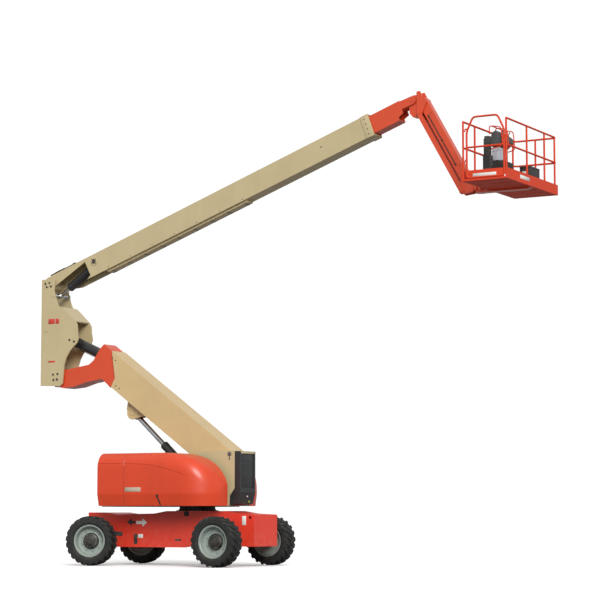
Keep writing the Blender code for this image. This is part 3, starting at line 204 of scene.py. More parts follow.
def add_box(bm, low, high, bevel=0.0, place=None):
    """A box between two corners, its edges rounded where bevel is given."""
    low, high = Vector(low), Vector(high)
    made = bmesh.ops.create_cube(bm, size=1.0)["verts"]
    bmesh.ops.scale(bm, vec=high - low, verts=made)
    bmesh.ops.translate(bm, vec=(low + high) / 2, verts=made)
    if place is not None:
        bmesh.ops.transform(bm, matrix=place, verts=made)
    if bevel:
        edges = list({edge for vert in made for edge in vert.link_edges})
        bmesh.ops.bevel(bm, geom=edges, offset=bevel, segments=2, profile=0.6, affect="EDGES")


def add_plate(bm, outline, y_from, y_to, place=None):
    """A flat plate with an outline in x and z, between two values of y."""
    rings = [[bm.verts.new((x, y, z)) for x, z in outline] for y in (y_from, y_to)]
    count = len(outline)
    for i in range(count):
        j = (i + 1) % count
        bm.faces.new((rings[0][i], rings[0][j], rings[1][j], rings[1][i]))
    bm.faces.new(rings[0])
    bm.faces.new(rings[1][::-1])
    if place is not None:
        bmesh.ops.transform(bm, matrix=place, verts=rings[0] + rings[1])


def make_piece(name, bm, material, body, sharp=35, replaced=()):
    """The mesh as a piece that rides on a body, smooth but for its sharp edges."""
    bmesh.ops.remove_doubles(bm, verts=bm.verts, dist=1e-5)
    bmesh.ops.recalc_face_normals(bm, faces=bm.faces)
    mesh = bpy.data.meshes.new(name)
    bm.to_mesh(mesh)
    bm.free()
    return finish_piece(name, mesh, material, body, sharp, replaced)


def finish_piece(name, mesh, material, body, sharp=35, replaced=()):
    piece = bpy.data.objects.new(name, mesh)
    bpy.context.scene.collection.objects.link(piece)
    mesh.materials.clear()
    mesh.materials.append(material)
    if sharp is not None:
        for polygon in mesh.polygons:
            polygon.use_smooth = True
        mesh.set_sharp_from_angle(angle=math.radians(sharp))
    if replaced:
        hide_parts(*replaced)
    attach(piece, body)
    return piece


chassis_enamel = enamel("chassis enamel", tone(222, 52, 30), 0.42, 0.45, 0.14, 0.15, 1.0)
repaint(chassis_enamel, "chassis_frame")
# The black plates for the openings are painted shade for the holes' dark insides; the same black prints the
# arrows.
shade_and_print_black = enamel("hole shade and print black", tone(24, 25, 26), 0.6, 0.2, 0.35, 0.0, 1.0)
plate_white = enamel("blank plate white", tone(222, 220, 212), 0.35, 0.25, 0.15, 0.1, 1.0)
frame_side = 0.45
hole_shades = bmesh.new()
for side in (-1, 1):
    for x_low, x_high, z_low, z_high in (
        (-3.546, -3.336, 0.592, 0.682), (-3.054, -2.966, 0.433, 0.634),
        (-2.062, -1.918, 0.501, 0.540), (-1.851, -1.731, 1.002, 1.092),
    ):
        faces = sorted((side * (frame_side - 0.001), side * (frame_side + 0.0015)))
        add_box(hole_shades, (x_low, faces[0], z_low), (x_high, faces[1], z_high), 0.0007)
make_piece("frame_hole_shades", hole_shades, shade_and_print_black, "chassis")
signs = bmesh.new()
arrows = bmesh.new()
for side in (-1, 1):
    faces = sorted((side * (frame_side - 0.001), side * (frame_side + 0.0012)))
    add_box(signs, (-2.956, faces[0], 0.555), (-2.833, faces[1], 0.635), 0.0005)
    add_box(signs, (-0.492, faces[0], 0.825), (-0.399, faces[1], 1.002), 0.0005)
    right_arrow = [(-3.00, 0.835), (-2.85, 0.835), (-2.85, 0.78), (-2.738, 0.868),
                   (-2.85, 0.956), (-2.85, 0.90), (-3.00, 0.90)]
    left_arrow = [(-3.014, 0.90), (-3.11, 0.90), (-3.11, 0.956), (-3.229, 0.876),
                  (-3.11, 0.797), (-3.11, 0.845), (-3.014, 0.845)]
    add_plate(signs, right_arrow, *faces)
    add_plate(arrows, left_arrow, *faces)
make_piece("frame_signs", signs, plate_white, "chassis")
make_piece("frame_arrows", arrows, shade_and_print_black, "chassis")


# ---- Slewing ring -----------------------------------------------------------------------------
# A turned bearing ring with gear teeth round it, greased dark steel, on bolts through the
# frame's top plate. The turntable deck sits on its inner race.
def add_turned(bm, profile, sides, place=None, closed=True):
    """A profile of (radius, height) pairs turned round the Y axis."""
    rings = []
    for i in range(sides):
        turn = math.tau * i / sides
        rings.append([
            bm.verts.new((radius * math.cos(turn), height, radius * math.sin(turn)))
            for radius, height in profile
        ])
    steps = len(profile) if closed else len(profile) - 1
    for i in range(sides):
        one, two = rings[i], rings[(i + 1) % sides]
        for j in range(steps):
            k = (j + 1) % len(profile)
            bm.faces.new((one[j], one[k], two[k], two[j]))
    if not closed:
        bm.faces.new([ring[0] for ring in rings])
        bm.faces.new([ring[-1] for ring in rings][::-1])
    if place is not None:
        bmesh.ops.transform(bm, matrix=place, verts=[vert for ring in rings for vert in ring])


def add_round(bm, start, end, radius, sides=24, bevel=0.002):
    """A round bar with its end edges eased."""
    start, end = Vector(start), Vector(end)
    run = end - start
    ease = min(bevel, radius * 0.4, run.length * 0.4)
    profile = [(radius - ease, 0), (radius, ease), (radius, run.length - ease), (radius - ease, run.length)]
    turn = Vector((0, 1, 0)).rotation_difference(run.normalized()).to_matrix().to_4x4()
    add_turned(bm, profile, sides, Matrix.Translation(start) @ turn, False)


def add_hex(bm, base, way, size, height):
    """A hexagon head with a washer under it, standing on base."""
    base, way = Vector(base), Vector(way).normalized()
    turn = Matrix.Translation(base) @ Vector((0, 1, 0)).rotation_difference(way).to_matrix().to_4x4()
    add_turned(bm, [(size * 1.25, 0), (size * 1.25, height * 0.25)], 16, turn, False)
    head = [(size, height * 0.2), (size, height * 0.85), (size * 0.82, height)]
    add_turned(bm, head, 6, turn, False)


def grain_group():
    """Cast, moulded or rolled surface: fine grain, soft mottling and settled dust."""
    tree, given, made = new_group(
        "grained surface",
        (("Base", "Color"), ("Dust", "Color"), ("Dustiness", "Float"), ("Roughness", "Float"),
         ("Grain Scale", "Float"), ("Grain Depth", "Float")),
        (("Color", "Color"), ("Roughness", "Float"), ("Normal", "Vector")),
    )
    where = add_node(tree, "ShaderNodeTexCoord")
    place = where.outputs["Object"]
    cloud = span(tree, noise_of(tree, place, 6.0), 0.3, 0.7, 0.82, 1.18)
    grain = noise_of(tree, place, given.outputs["Grain Scale"], 2.0)
    facing = add_node(tree, "ShaderNodeSeparateXYZ", {0: where.outputs["Normal"]}).outputs["Z"]
    settled = sum_of(
        tree, "ADD", span(tree, facing, 0.2, 1.0, 0.15, 1.0), span(tree, grain, 0.5, 0.8, 0.0, 0.5)
    )
    patch = span(tree, noise_of(tree, place, 8.0), 0.36, 0.68)
    dusty = sum_of(
        tree, "MULTIPLY", sum_of(tree, "MULTIPLY", settled, patch), given.outputs["Dustiness"]
    )
    base = add_node(tree, "ShaderNodeHueSaturation", {"Value": cloud, "Color": given.outputs["Base"]})
    color = blend_of(tree, dusty, base.outputs[0], given.outputs["Dust"])
    rough = sum_of(tree, "ADD", given.outputs["Roughness"], span(tree, grain, 0.3, 0.7, -0.06, 0.10))
    height = sum_of(tree, "MULTIPLY", grain, given.outputs["Grain Depth"])
    rounded = add_node(tree, "ShaderNodeBevel", {"Radius": 0.003}, samples=4)
    bump = add_node(tree, "ShaderNodeBump", {
        "Strength": 0.6, "Distance": 0.002, "Height": height, "Normal": rounded.outputs[0],
    })
    tree.links.new(color, made.inputs["Color"])
    tree.links.new(rough, made.inputs["Roughness"])
    tree.links.new(bump.outputs[0], made.inputs["Normal"])
    return tree


grained_surface = grain_group()


def grained(name, base, rough, dust, scale, depth, metallic=0.0):
    values = {
        "Base": base, "Dust": tone(150, 142, 126), "Dustiness": dust, "Roughness": rough,
        "Grain Scale": scale, "Grain Depth": depth,
    }
    return finish_from(name, grained_surface, values, {"Metallic": metallic, "IOR": 1.5})


def repeat_tree():
    """Like parts in order: each is moved by Step and turned by Turn from the one before."""
    tree = bpy.data.node_groups.new("like parts in order", "GeometryNodeTree")
    tree.interface.new_socket("Part", in_out="INPUT", socket_type="NodeSocketGeometry")
    for label, kind in (("Count", "Int"), ("Step", "Vector"), ("Turn", "Vector"), ("Finish", "Material")):
        tree.interface.new_socket(label, in_out="INPUT", socket_type=f"NodeSocket{kind}")
    tree.interface.new_socket("Parts", in_out="OUTPUT", socket_type="NodeSocketGeometry")
    given, made = tree.nodes.new("NodeGroupInput"), tree.nodes.new("NodeGroupOutput")
    number = add_node(tree, "GeometryNodeInputIndex").outputs[0]
    moved, turned = (
        add_node(
            tree, "ShaderNodeVectorMath", {0: given.outputs[label], "Scale": number}, operation="SCALE"
        ).outputs[0]
        for label in ("Step", "Turn")
    )
    turning = add_node(tree, "FunctionNodeEulerToRotation", {0: turned}).outputs[0]
    places = add_node(tree, "GeometryNodePoints", {"Count": given.outputs["Count"], "Position": moved})
    copies = add_node(tree, "GeometryNodeInstanceOnPoints", {
        "Points": places.outputs[0], "Instance": given.outputs["Part"], "Rotation": turning,
    })
    real = add_node(tree, "GeometryNodeRealizeInstances", {0: copies.outputs[0]})
    painted = add_node(tree, "GeometryNodeSetMaterial", {
        "Geometry": real.outputs[0], "Material": given.outputs["Finish"],
    })
    tree.links.new(painted.outputs[0], made.inputs[0])
    return tree


parts_in_order = repeat_tree()


def repeated_mesh(name, part, count, step, turn, material, place):
    """The mesh of one part repeated by the tree, then put in its place."""
    bmesh.ops.recalc_face_normals(part, faces=part.faces)
    mesh = bpy.data.meshes.new(name)
    part.to_mesh(mesh)
    part.free()
    maker = bpy.data.objects.new(name + "_maker", mesh)
    bpy.context.scene.collection.objects.link(maker)
    modifier = maker.modifiers.new("order", "NODES")
    modifier.node_group = parts_in_order
    sockets = {item.name: item.identifier for item in parts_in_order.interface.items_tree}
    for label, value in (("Count", count), ("Step", step), ("Turn", turn), ("Finish", material)):
        modifier[sockets[label]] = value
    graph = bpy.context.evaluated_depsgraph_get()
    made = bpy.data.meshes.new_from_object(maker.evaluated_get(graph))
    maker.modifiers.clear()
    bpy.data.objects.remove(maker)
    made.name = name
    made.transform(place)
    return made


def repeated(name, part, count, step, turn, material, place, body, sharp=35):
    made = repeated_mesh(name, part, count, step, turn, material, place)
    return finish_piece(name, made, material, body, sharp, ())


def standing(x, y, z):
    """Stands a turned part, whose axis is Y, upright at a point."""
    return Matrix.Translation((x, y, z)) @ Matrix.Rotation(math.radians(90), 4, "X")


greased_steel = grained("greased steel", tone(58, 58, 56), 0.4, 0.25, 90.0, 0.3, 0.8)
bolt_zinc = grained("zinc bolt", tone(120, 120, 116), 0.42, 0.35, 140.0, 0.25, 0.9)
swing_x = -1.81526
ring_base, ring_top = 1.1003, 1.2
race = bmesh.new()
add_turned(race, [
    (0.300, 0.0), (0.362, 0.0), (0.362, 0.040), (0.368, 0.044), (0.368, 0.052), (0.362, 0.056),
    (0.362, 0.088), (0.356, ring_top - ring_base), (0.300, ring_top - ring_base),
], 96, standing(swing_x, 0, ring_base))
make_piece("slew_race", race, greased_steel, "chassis", replaced=("slew_ring",))
tooth = bmesh.new()
add_plate(tooth, [(0.360, -0.0105), (0.379, -0.005), (0.379, 0.005), (0.360, 0.0105)], 0.006, 0.038)
repeated("slew_teeth", tooth, 84, (0, 0, 0), (0, math.tau / 84, 0), greased_steel,
         standing(swing_x, 0, ring_base), "chassis")
stud = bmesh.new()
add_hex(stud, (0.415, 0, 0), (0, 1, 0), 0.013, 0.016)
repeated("slew_bolts", stud, 30, (0, 0, 0), (0, math.tau / 30, 0), bolt_zinc,
         standing(swing_x, 0, ring_base - 0.0002), "chassis")


# ---- Axles and steering -----------------------------------------------------------------------
# Box beams of welded plate under the frame. The steer beam carries a hydraulic steering
# cylinder, and a knuckle at each end turns on a kingpin. The drive axle ends in hub drives.
axle_enamel = enamel("axle enamel", tone(150, 42, 30), 0.5, 0.8, 0.6, 0.1, 0.8)
repaint(axle_enamel, "steer_axle", "drive_axle")
cast_black = grained("cast iron black", tone(40, 42, 42), 0.62, 0.45, 60.0, 0.8)
ram_black = enamel("ram black enamel", tone(30, 32, 34), 0.3, 0.4, 0.2, 0.3, 0.5, tone(90, 90, 90))
repaint(cast_black, "steer_knuckle_right", "steer_knuckle_left")
steering = bmesh.new()
add_round(steering, (-3.620, -0.30, 0.50), (-3.620, 0.30, 0.50), 0.034, 28)
add_round(steering, (-3.620, -0.32, 0.50), (-3.620, -0.29, 0.50), 0.041, 28)
add_round(steering, (-3.620, 0.29, 0.50), (-3.620, 0.32, 0.50), 0.041, 28)
for y in (-0.22, 0.22):
    add_box(steering, (-3.655, y - 0.03, 0.462), (-3.600, y + 0.03, 0.538), 0.004)
make_piece("steer_cylinder", steering, ram_black, "chassis")
kingpins = bmesh.new()
for y in (-0.82, 0.82):
    for z, way in ((0.67, 1), (0.33, -1)):
        add_round(kingpins, (-3.760, y, z - way * 0.002), (-3.760, y, z + way * 0.012), 0.048, 28)
        for i in range(4):
            turn = math.tau * (i + 0.5) / 4
            head = (-3.760 + 0.033 * math.cos(turn), y + 0.033 * math.sin(turn), z + way * 0.012)
            add_hex(kingpins, head, (0, 0, way), 0.008, 0.008)
make_piece("kingpin_covers", kingpins, cast_black, "chassis")


# ---- Wheels -----------------------------------------------------------------------------------
# Four foam-filled rubber tyres with deep slanted lugs, on pale painted disc rims. Each rim is
# held by a ring of nuts round a black hub cover.
tyre_rubber = grained("tyre rubber", tone(24, 26, 26), 0.8, 0.18, 70.0, 1.0)
rim_enamel = enamel("rim enamel", tone(134, 147, 141), 0.4, 0.5, 0.3, 0.1, 1.1, tone(110, 100, 90))
hub_black = enamel("hub black", tone(20, 21, 22), 0.42, 0.3, 0.18, 0.1, 1.1, tone(70, 70, 70))
tyre_radius, rim_half = 0.50, 0.15
carcass_profile = [
    (0.3256, -rim_half), (0.335, -0.166), (0.350, -0.176), (0.372, -0.184), (0.380, -0.187),
    (0.384, -0.187), (0.392, -0.184), (0.425, -0.1865), (0.446, -0.183), (0.462, -0.172),
    (0.472, -0.150), (0.4755, -0.080), (0.4765, 0.0), (0.4755, 0.080), (0.472, 0.150),
    (0.462, 0.172), (0.446, 0.183), (0.425, 0.1865), (0.392, 0.184), (0.384, 0.187),
    (0.380, 0.187), (0.372, 0.184), (0.350, 0.176), (0.335, 0.166), (0.3256, rim_half),
]
rim_profile = [
    (0.0557, -0.058), (0.120, -0.060), (0.132, -0.056), (0.190, -0.022), (0.200, -0.020),
    (0.270, -0.020), (0.281, -0.026), (0.2925, -0.124), (0.296, -0.132), (0.300, -0.1495),
    (0.3248, -0.1495), (0.3248, 0.1495), (0.303, 0.1495), (0.298, 0.140), (0.288, 0.134),
    (0.283, 0.110), (0.276, 0.030), (0.268, 0.014), (0.255, 0.010), (0.175, 0.010),
    (0.162, 0.014), (0.118, 0.052), (0.105, 0.058), (0.0557, 0.060),
]


def add_lug(bm, way, lead):
    """One slanted tread lug: from the middle of the tread out over the shoulder."""
    rows = [(0.012, 0.474, 0.4985, 0.026, 0.0), (0.085, 0.473, 0.4995, 0.028, 0.055),
            (0.158, 0.465, 0.4970, 0.031, 0.098), (0.184, 0.444, 0.4740, 0.032, 0.112),
            (0.1895, 0.425, 0.4360, 0.030, 0.116)]
    rings = []
    for across, low, high, half, slip in rows:
        ring = []
        for radius, width in ((low, half * 1.12), (high, half), (high, -half), (low, -half * 1.12)):
            turn = (slip + lead + width) / 0.48
            ring.append(bm.verts.new((radius * math.cos(turn), way * across, radius * math.sin(turn))))
        rings.append(ring)
    for one, two in zip(rings, rings[1:]):
        for i in range(4):
            j = (i + 1) % 4
            bm.faces.new((one[i], one[j], two[j], two[i]))
    bm.faces.new(rings[0])
    bm.faces.new(rings[-1][::-1])


for end, centres, turned_by in (
    ("steer", ((-3.6876, -1.0435), (-3.8329, 1.0435)), math.radians(18)),
    ("drive", ((-0.7103, -1.055), (-0.7103, 1.055)), 0.0),
):
    for (hub_x, hub_y), (side, side_name) in zip(centres, ((-1, "right"), (1, "left"))):
        body = f"wheel_{end}_{side_name}"
        label = f"{end}_{side_name}"
        place = Matrix.Translation((hub_x, hub_y, tyre_radius)) @ Matrix.Rotation(turned_by, 4, "Z")
        carcass = bmesh.new()
        add_turned(carcass, carcass_profile, 80, place)
        make_piece(f"carcass_{label}", carcass, tyre_rubber, body, 50, (f"tyre_{label}",))
        for way, half_step in ((-1, 0.0), (1, 0.5)):
            lug = bmesh.new()
            add_lug(lug, way, half_step * math.tau / 22 * 0.48)
            mesh_name = f"lugs_{label}_{'inner' if way * side < 0 else 'outer'}"
            repeated(mesh_name, lug, 22, (0, 0, 0), (0, math.tau / 22, 0), tyre_rubber, place, body,
                     30)
        rim = bmesh.new()
        add_turned(rim, [(radius, side * rise) for radius, rise in rim_profile], 72, place)
        make_piece(f"disc_{label}", rim, rim_enamel, body, 40, (f"rim_{label}",))
        nut = bmesh.new()
        add_hex(nut, (0.212, side * 0.010, 0), (0, side, 0), 0.015, 0.020)
        repeated(f"nuts_{label}", nut, 9, (0, 0, 0), (0, math.tau / 9, 0), rim_enamel, place, body)
        hub = bmesh.new()
        add_turned(hub, [
            (0.150, side * 0.0150), (0.163, side * 0.0165), (0.166, side * 0.022), (0.150, side * 0.064),
            (0.142, side * 0.070), (0.098, side * 0.076), (0.092, side * 0.094), (0.060, side * 0.102),
        ], 56, place, False)
        make_piece(f"hub_{label}", hub, hub_black, body)
        screw = bmesh.new()
        add_hex(screw, (0.120, side * 0.0725, 0), (0, side, 0), 0.009, 0.010)
        repeated(f"hub_screws_{label}", screw, 12, (0, 0, 0), (0, math.tau / 12, 0), bolt_zinc, place,
                 body)


# ---- Turntable frame and end box --------------------------------------------------------------
# Two tan cheek plates on a deck plate carry the tower's pivot pin. A black sheet-metal box with
# a vented door closes their end, under a pale cap strip.
tan_enamel = enamel("tan enamel", tone(186, 170, 130), 0.42, 0.45, 0.24, 0.15, 1.5, tone(150, 96, 62))
box_black = enamel("box black", tone(36, 38, 40), 0.45, 0.45, 0.35, 0.1, 1.4, tone(96, 92, 86))
repaint(tan_enamel, "turntable_frame")
repaint(box_black, "end_box")
pivot_x, pivot_z = -0.8753, 2.2353
keepers = bmesh.new()
for side in (-1, 1):
    add_round(keepers, (pivot_x, side * 0.305, pivot_z), (pivot_x, side * 0.311, pivot_z), 0.044, 32)
    add_round(keepers, (pivot_x, side * 0.310, pivot_z), (pivot_x, side * 0.316, pivot_z), 0.026, 24)
    add_box(keepers, (pivot_x - 0.010, min(side * 0.299, side * 0.308), pivot_z - 0.115),
            (pivot_x + 0.010, max(side * 0.299, side * 0.308), pivot_z - 0.020), 0.002)
    add_hex(keepers, (pivot_x, side * 0.308, pivot_z - 0.100), (0, side, 0), 0.009, 0.008)
make_piece("tower_pivot_keepers", keepers, bolt_zinc, "turntable")
box_face = -0.6303
cap_strip = bmesh.new()
add_box(cap_strip, (box_face - 0.005, -0.262, 2.243), (box_face + 0.003, 0.262, 2.287), 0.0015)
make_piece("end_box_strip", cap_strip, tan_enamel, "turntable")
door = bmesh.new()
add_box(door, (box_face - 0.0195, -0.232, 1.575), (box_face - 0.0140, 0.232, 2.228), 0.002)
add_box(door, (box_face - 0.0150, -0.030, 1.640), (box_face - 0.0060, 0.030, 1.668), 0.003)
for y, z in ((-0.20, 1.60), (0.20, 1.60), (-0.20, 2.20), (0.20, 2.20)):
    add_hex(door, (box_face - 0.0145, y, z), (1, 0, 0), 0.007, 0.006)
make_piece("end_box_door", door, box_black, "turntable")
slat = bmesh.new()
add_plate(slat, [(0.0, -0.006), (0.006, -0.012), (0.0075, -0.010), (0.001, 0.008)], -0.17, 0.17)
repeated("end_box_slats", slat, 10, (0, 0, 0.036), (0, 0, 0), box_black,
         Matrix.Translation((box_face - 0.0145, 0, 1.79)), "turntable")
lamps = bmesh.new()
add_round(lamps, (box_face - 0.012, -0.009, 1.389), (box_face + 0.004, -0.009, 1.389), 0.016, 24, 0.003)
make_piece("end_box_button", lamps, plate_white, "turntable")
lens_green = grained("lens yellow-green", tone(166, 178, 60), 0.2, 0.1, 220.0, 0.2)
lens = bmesh.new()
add_round(lens, (box_face - 0.060, 0.129, 1.285), (box_face - 0.034, 0.129, 1.285), 0.022, 28, 0.006)
make_piece("end_box_lens", lens, lens_green, "turntable")


# ---- Belly pans, black as painted shade -------------------------------------------------------
# Thin black sheets under both hoods close the engine and tank bays from below. They are bolted
# under the deck plate. Their black is painted shade for the dark gap between the hoods and the frame.
# Black sheets under the hoods: painted shade for the gap between the hoods and the frame.
shade_sheets = bmesh.new()
for side in (-1, 1):
    ys = sorted((side * 0.50, side * 1.10))
    front = -1.48
    add_box(shade_sheets, (-3.40, ys[0], 1.184), (front, ys[1], 1.1985), 0.002)
add_box(shade_sheets, (-3.36, -0.51, 1.184), (-2.36, 0.51, 1.1985), 0.002)
make_piece("belly_shade_sheets", shade_sheets, box_black, "turntable")


# ---- Engine, tank and counterweight -----------------------------------------------------------
# Under the hoods: a cast block for the engine, a moulded tank, and a rough iron counterweight.
# They are seen only with a hood open or from behind.
weight_iron = grained("counterweight iron", tone(62, 62, 62), 0.7, 0.4, 38.0, 1.2)
repaint(weight_iron, "counterweight")
repaint(cast_black, "engine")
tank_plastic = grained("tank plastic", tone(30, 30, 31), 0.5, 0.3, 120.0, 0.5)
repaint(tank_plastic, "fuel_tank")
engine_parts = bmesh.new()
engine_top = 1.2456 + 0.62
add_box(engine_parts, (-2.36, -0.70, engine_top - 0.002), (-1.60, -0.52, engine_top + 0.055), 0.012)
add_round(engine_parts, (-2.30, -0.46, engine_top + 0.035), (-1.75, -0.46, engine_top + 0.035), 0.036, 28)
for i in range(4):
    x = -2.25 + 0.18 * i
    add_round(engine_parts, (x, -0.52, engine_top + 0.02), (x, -0.47, engine_top + 0.035), 0.018, 16)
make_piece("engine_head", engine_parts, cast_black, "turntable")
filler = bmesh.new()
add_turned(filler, [(0.048, 0.0), (0.048, 0.012), (0.040, 0.016), (0.040, 0.034), (0.034, 0.039)], 32,
           standing(-1.60, 0.60, 1.2456 + 0.4995), False)
make_piece("tank_filler", filler, tank_plastic, "turntable")


# ---- Hoods and rear covers --------------------------------------------------------------------
# Thin moulded shells in glossy orange on both flanks: a fixed rear cover, and a long door whose
# crown falls to the nose. A bead runs along its shoulder, and a rubber strap latches it.
hood_gloss = enamel("hood gloss orange", tone(206, 62, 24), 0.42, 0.2, 0.06, 0.22, 1.45, tone(236, 170, 140))
plate_beige = enamel("blank plate beige", tone(176, 164, 146), 0.4, 0.2, 0.1, 0.1, 1.4)
strap_rubber = grained("strap rubber", tone(26, 27, 28), 0.7, 0.25, 110.0, 0.6)
hood_base, hood_height = 1.2003, 1.06
hood_start, hood_seam = -1.64, -1.00
hood_nose = {-1: 0.98, 1: 0.94}
hood_inner, hood_outer = 0.36, 1.20


def crown_of(x, nose):
    if x <= -0.35:
        return hood_height
    share = 0.97 * (x + 0.35) / (nose + 0.35)
    return 0.16 + (hood_height - 0.16) * (1 - share**2.9) ** (1 / 2.1)


def flank_of(x, nose):
    if x <= 0.25:
        return hood_outer
    share = 0.97 * (x - 0.25) / (nose - 0.25)
    return hood_inner + 0.12 + (hood_outer - hood_inner - 0.12) * (1 - share**2.6) ** (1 / 2.2)


def shell_line(x, inner, nose):
    """Points (y, z) across the hood from its inner edge over the crown to its foot."""
    crown, out = hood_base + crown_of(x, nose), flank_of(x, nose)
    ridge = min(hood_base + 0.24, hood_base + 0.7 * (crown - hood_base))
    round_y = min(0.24, 0.8 * (out - hood_inner))
    round_z = min(0.30, 0.9 * (crown - ridge))
    start = min(inner, out - round_y - 0.004)
    points = [(start + (out - round_y - start) * i / 3, crown) for i in range(3)]
    for i in range(13):
        turn = math.radians(90 * i / 12)
        points.append((out - round_y * (1 - math.sin(turn)), crown - round_z * (1 - math.cos(turn))))
    side_top = crown - round_z
    points += [(out, side_top + (ridge - side_top) * share) for share in (0.35, 0.7, 0.94)]
    points.append((out - 0.0015, ridge - 0.004))
    foot = max(out - 0.06, hood_inner + 0.02)
    for share in (0.12, 0.5, 1.0):
        points.append((out + (foot - out) * share, ridge + (hood_base - ridge) * share))
    return points


def flank_point(x, z, side):
    """The hood's outside surface at a height, by its own section."""
    line = shell_line(x, hood_inner, hood_nose[side])
    for (y_one, z_one), (y_two, z_two) in zip(line, line[1:]):
        if z_two <= z <= z_one and z_one > z_two:
            return y_one + (y_two - y_one) * (z_one - z) / (z_one - z_two)
    return line[-1][0]


def hood_shell(name, first, last, inner, side, node, body, closed_at):
    """A shell lofted along the machine, its end wall at closed_at, given a wall inwards."""
    stations = [first + (last - first) * math.sin(math.pi / 2 * i / 36) for i in range(37)]
    bm = bmesh.new()
    rows = [
        [bm.verts.new((x + swing_x, side * y, z)) for y, z in shell_line(x, inner, hood_nose[side])]
        for x in stations
    ]
    for one, two in zip(rows, rows[1:]):
        for i in range(len(one) - 1):
            bm.faces.new((one[i], one[i + 1], two[i + 1], two[i]))
    wall = rows[0] if closed_at == "start" else rows[-1]
    corner = bm.verts.new((wall[0].co.x, wall[0].co.y, wall[-1].co.z))
    bm.faces.new([*wall, corner])
    bmesh.ops.recalc_face_normals(bm, faces=bm.faces)
    middle = rows[18][16]
    if middle.normal.y * side < 0 or (middle.link_faces[0].normal.y * side) < 0:
        bmesh.ops.reverse_faces(bm, faces=bm.faces)
    mesh = bpy.data.meshes.new(name)
    bm.to_mesh(mesh)
    bm.free()
    maker = bpy.data.objects.new(name + "_maker", mesh)
    bpy.context.scene.collection.objects.link(maker)
    ease = maker.modifiers.new("ease", "BEVEL")
    ease.limit_method, ease.angle_limit = "ANGLE", math.radians(50)
    ease.width, ease.segments = 0.012, 3
    wall_made = maker.modifiers.new("wall", "SOLIDIFY")
    wall_made.thickness, wall_made.offset = 0.006, -1.0
    graph = bpy.context.evaluated_depsgraph_get()
    made = bpy.data.meshes.new_from_object(maker.evaluated_get(graph))
    bpy.data.objects.remove(maker)
    made.name = name
    return finish_piece(name, made, hood_gloss, body, 38, (node,))


bead_line = [(-1.597, 2.058), (-0.844, 2.05), (-0.365, 2.021), (0.109, 1.927), (0.578, 1.765),
             (0.765, 1.549), (0.650, 1.432)]


def add_swept(bm, points, radius, sides=12, closed=False):
    """A round tube that follows points, its rings turned with the path."""
    points = [Vector(point) for point in points]
    count = len(points)
    aside = None
    rings = []
    for i, point in enumerate(points):
        before = points[i - 1] if i or closed else point
        after = points[(i + 1) % count] if i < count - 1 or closed else point
        way = (after - before).normalized()
        if aside is None:
            aside = way.orthogonal().normalized()
        aside = (aside - way * aside.dot(way)).normalized()
        across = way.cross(aside)
        rings.append([
            bm.verts.new(point + radius * (
                aside * math.cos(math.tau * k / sides) + across * math.sin(math.tau * k / sides)))
            for k in range(sides)
        ])
    pairs = list(zip(rings, rings[1:]))
    for one, two in pairs:
        for k in range(sides):
            m = (k + 1) % sides
            bm.faces.new((one[k], one[m], two[m], two[k]))
    if closed:
        last, first = rings[-1], rings[0]
        shift = min(range(sides), key=lambda s: (last[0].co - first[s].co).length)
        for k in range(sides):
            m = (k + 1) % sides
            bm.faces.new((last[k], last[m], first[(m + shift) % sides], first[(k + shift) % sides]))
    else:
        bm.faces.new(rings[0])
        bm.faces.new(rings[-1][::-1])


def curved(points, steps=8):
    """A smooth path through points."""
    points = [Vector(point) for point in points]
    ends = [points[0] * 2 - points[1], *points, points[-1] * 2 - points[-2]]
    path = []
    for a, b, c, d in zip(ends, ends[1:], ends[2:], ends[3:]):
        for i in range(steps):
            t = i / steps
            path.append(0.5 * ((2 * b) + (c - a) * t + (2 * a - 5 * b + 4 * c - d) * t * t
                               + (3 * b - a - 3 * c + d) * t * t * t))
    path.append(points[-1])
    return path


for side, side_name in ((-1, "right"), (1, "left")):
    hood_shell(f"rear_shell_{side_name}", hood_start, hood_seam - 0.003, hood_inner, side,
               f"rear_cover_{side_name}", "turntable", "start")
    door_body = f"hood_{side_name}"
    hood_shell(f"door_shell_{side_name}", hood_seam + 0.003, hood_nose[side], 0.4405, side,
               f"hood_door_{side_name}", door_body, "end")
    for label, low, high, body in (
        ("cover", -1.60, -1.012, "turntable"), ("door", -0.988, hood_nose[side] - 0.44, door_body),
    ):
        flat = curved([(x, 0, z) for x, z in bead_line], 10)
        path = [(x + swing_x, side * (flank_point(x, z, side) - 0.0005), z) for x, _, z in flat
                if low <= x <= high and z > 1.50]
        bead = bmesh.new()
        add_swept(bead, path, 0.010, 8)
        make_piece(f"bead_{label}_{side_name}", bead, hood_gloss, body, 60)
    strap = bmesh.new()
    strap_path = [(-2.012, 1.395), (-1.995, 1.33), (-1.975, 1.27), (-1.958, 1.222)]
    for (x_one, z_one), (x_two, z_two) in zip(strap_path, strap_path[1:]):
        y_one, y_two = (flank_point(x - swing_x, z, side) for x, z in ((x_one, z_one), (x_two, z_two)))
        way = Vector((x_two - x_one, side * (y_two - y_one), z_two - z_one))
        turn = Vector((0, 0, -1)).rotation_difference(way.normalized()).to_matrix().to_4x4()
        middle = Vector(((x_one + x_two) / 2, side * ((y_one + y_two) / 2 + 0.004), (z_one + z_two) / 2))
        half = way.length / 2 + 0.004
        add_box(strap, (-0.014, -0.004, -half), (0.014, 0.004, half), 0.002,
                Matrix.Translation(middle) @ turn)
    top_y = side * flank_point(-2.012 - swing_x, 1.40, side)
    add_box(strap, (-2.040, min(top_y, top_y + side * 0.016), 1.385),
            (-1.986, max(top_y, top_y + side * 0.016), 1.425), 0.005)
    make_piece(f"latch_strap_{side_name}", strap, strap_rubber, door_body, 40)
    plates = bmesh.new()
    plate_y = sorted((side * (hood_outer - 0.001), side * (hood_outer + 0.001)))
    add_box(plates, (-2.780, plate_y[0], 1.485), (-2.400, plate_y[1], 1.570), 0.0006)
    make_piece(f"hood_plate_{side_name}", plates, plate_beige, door_body)


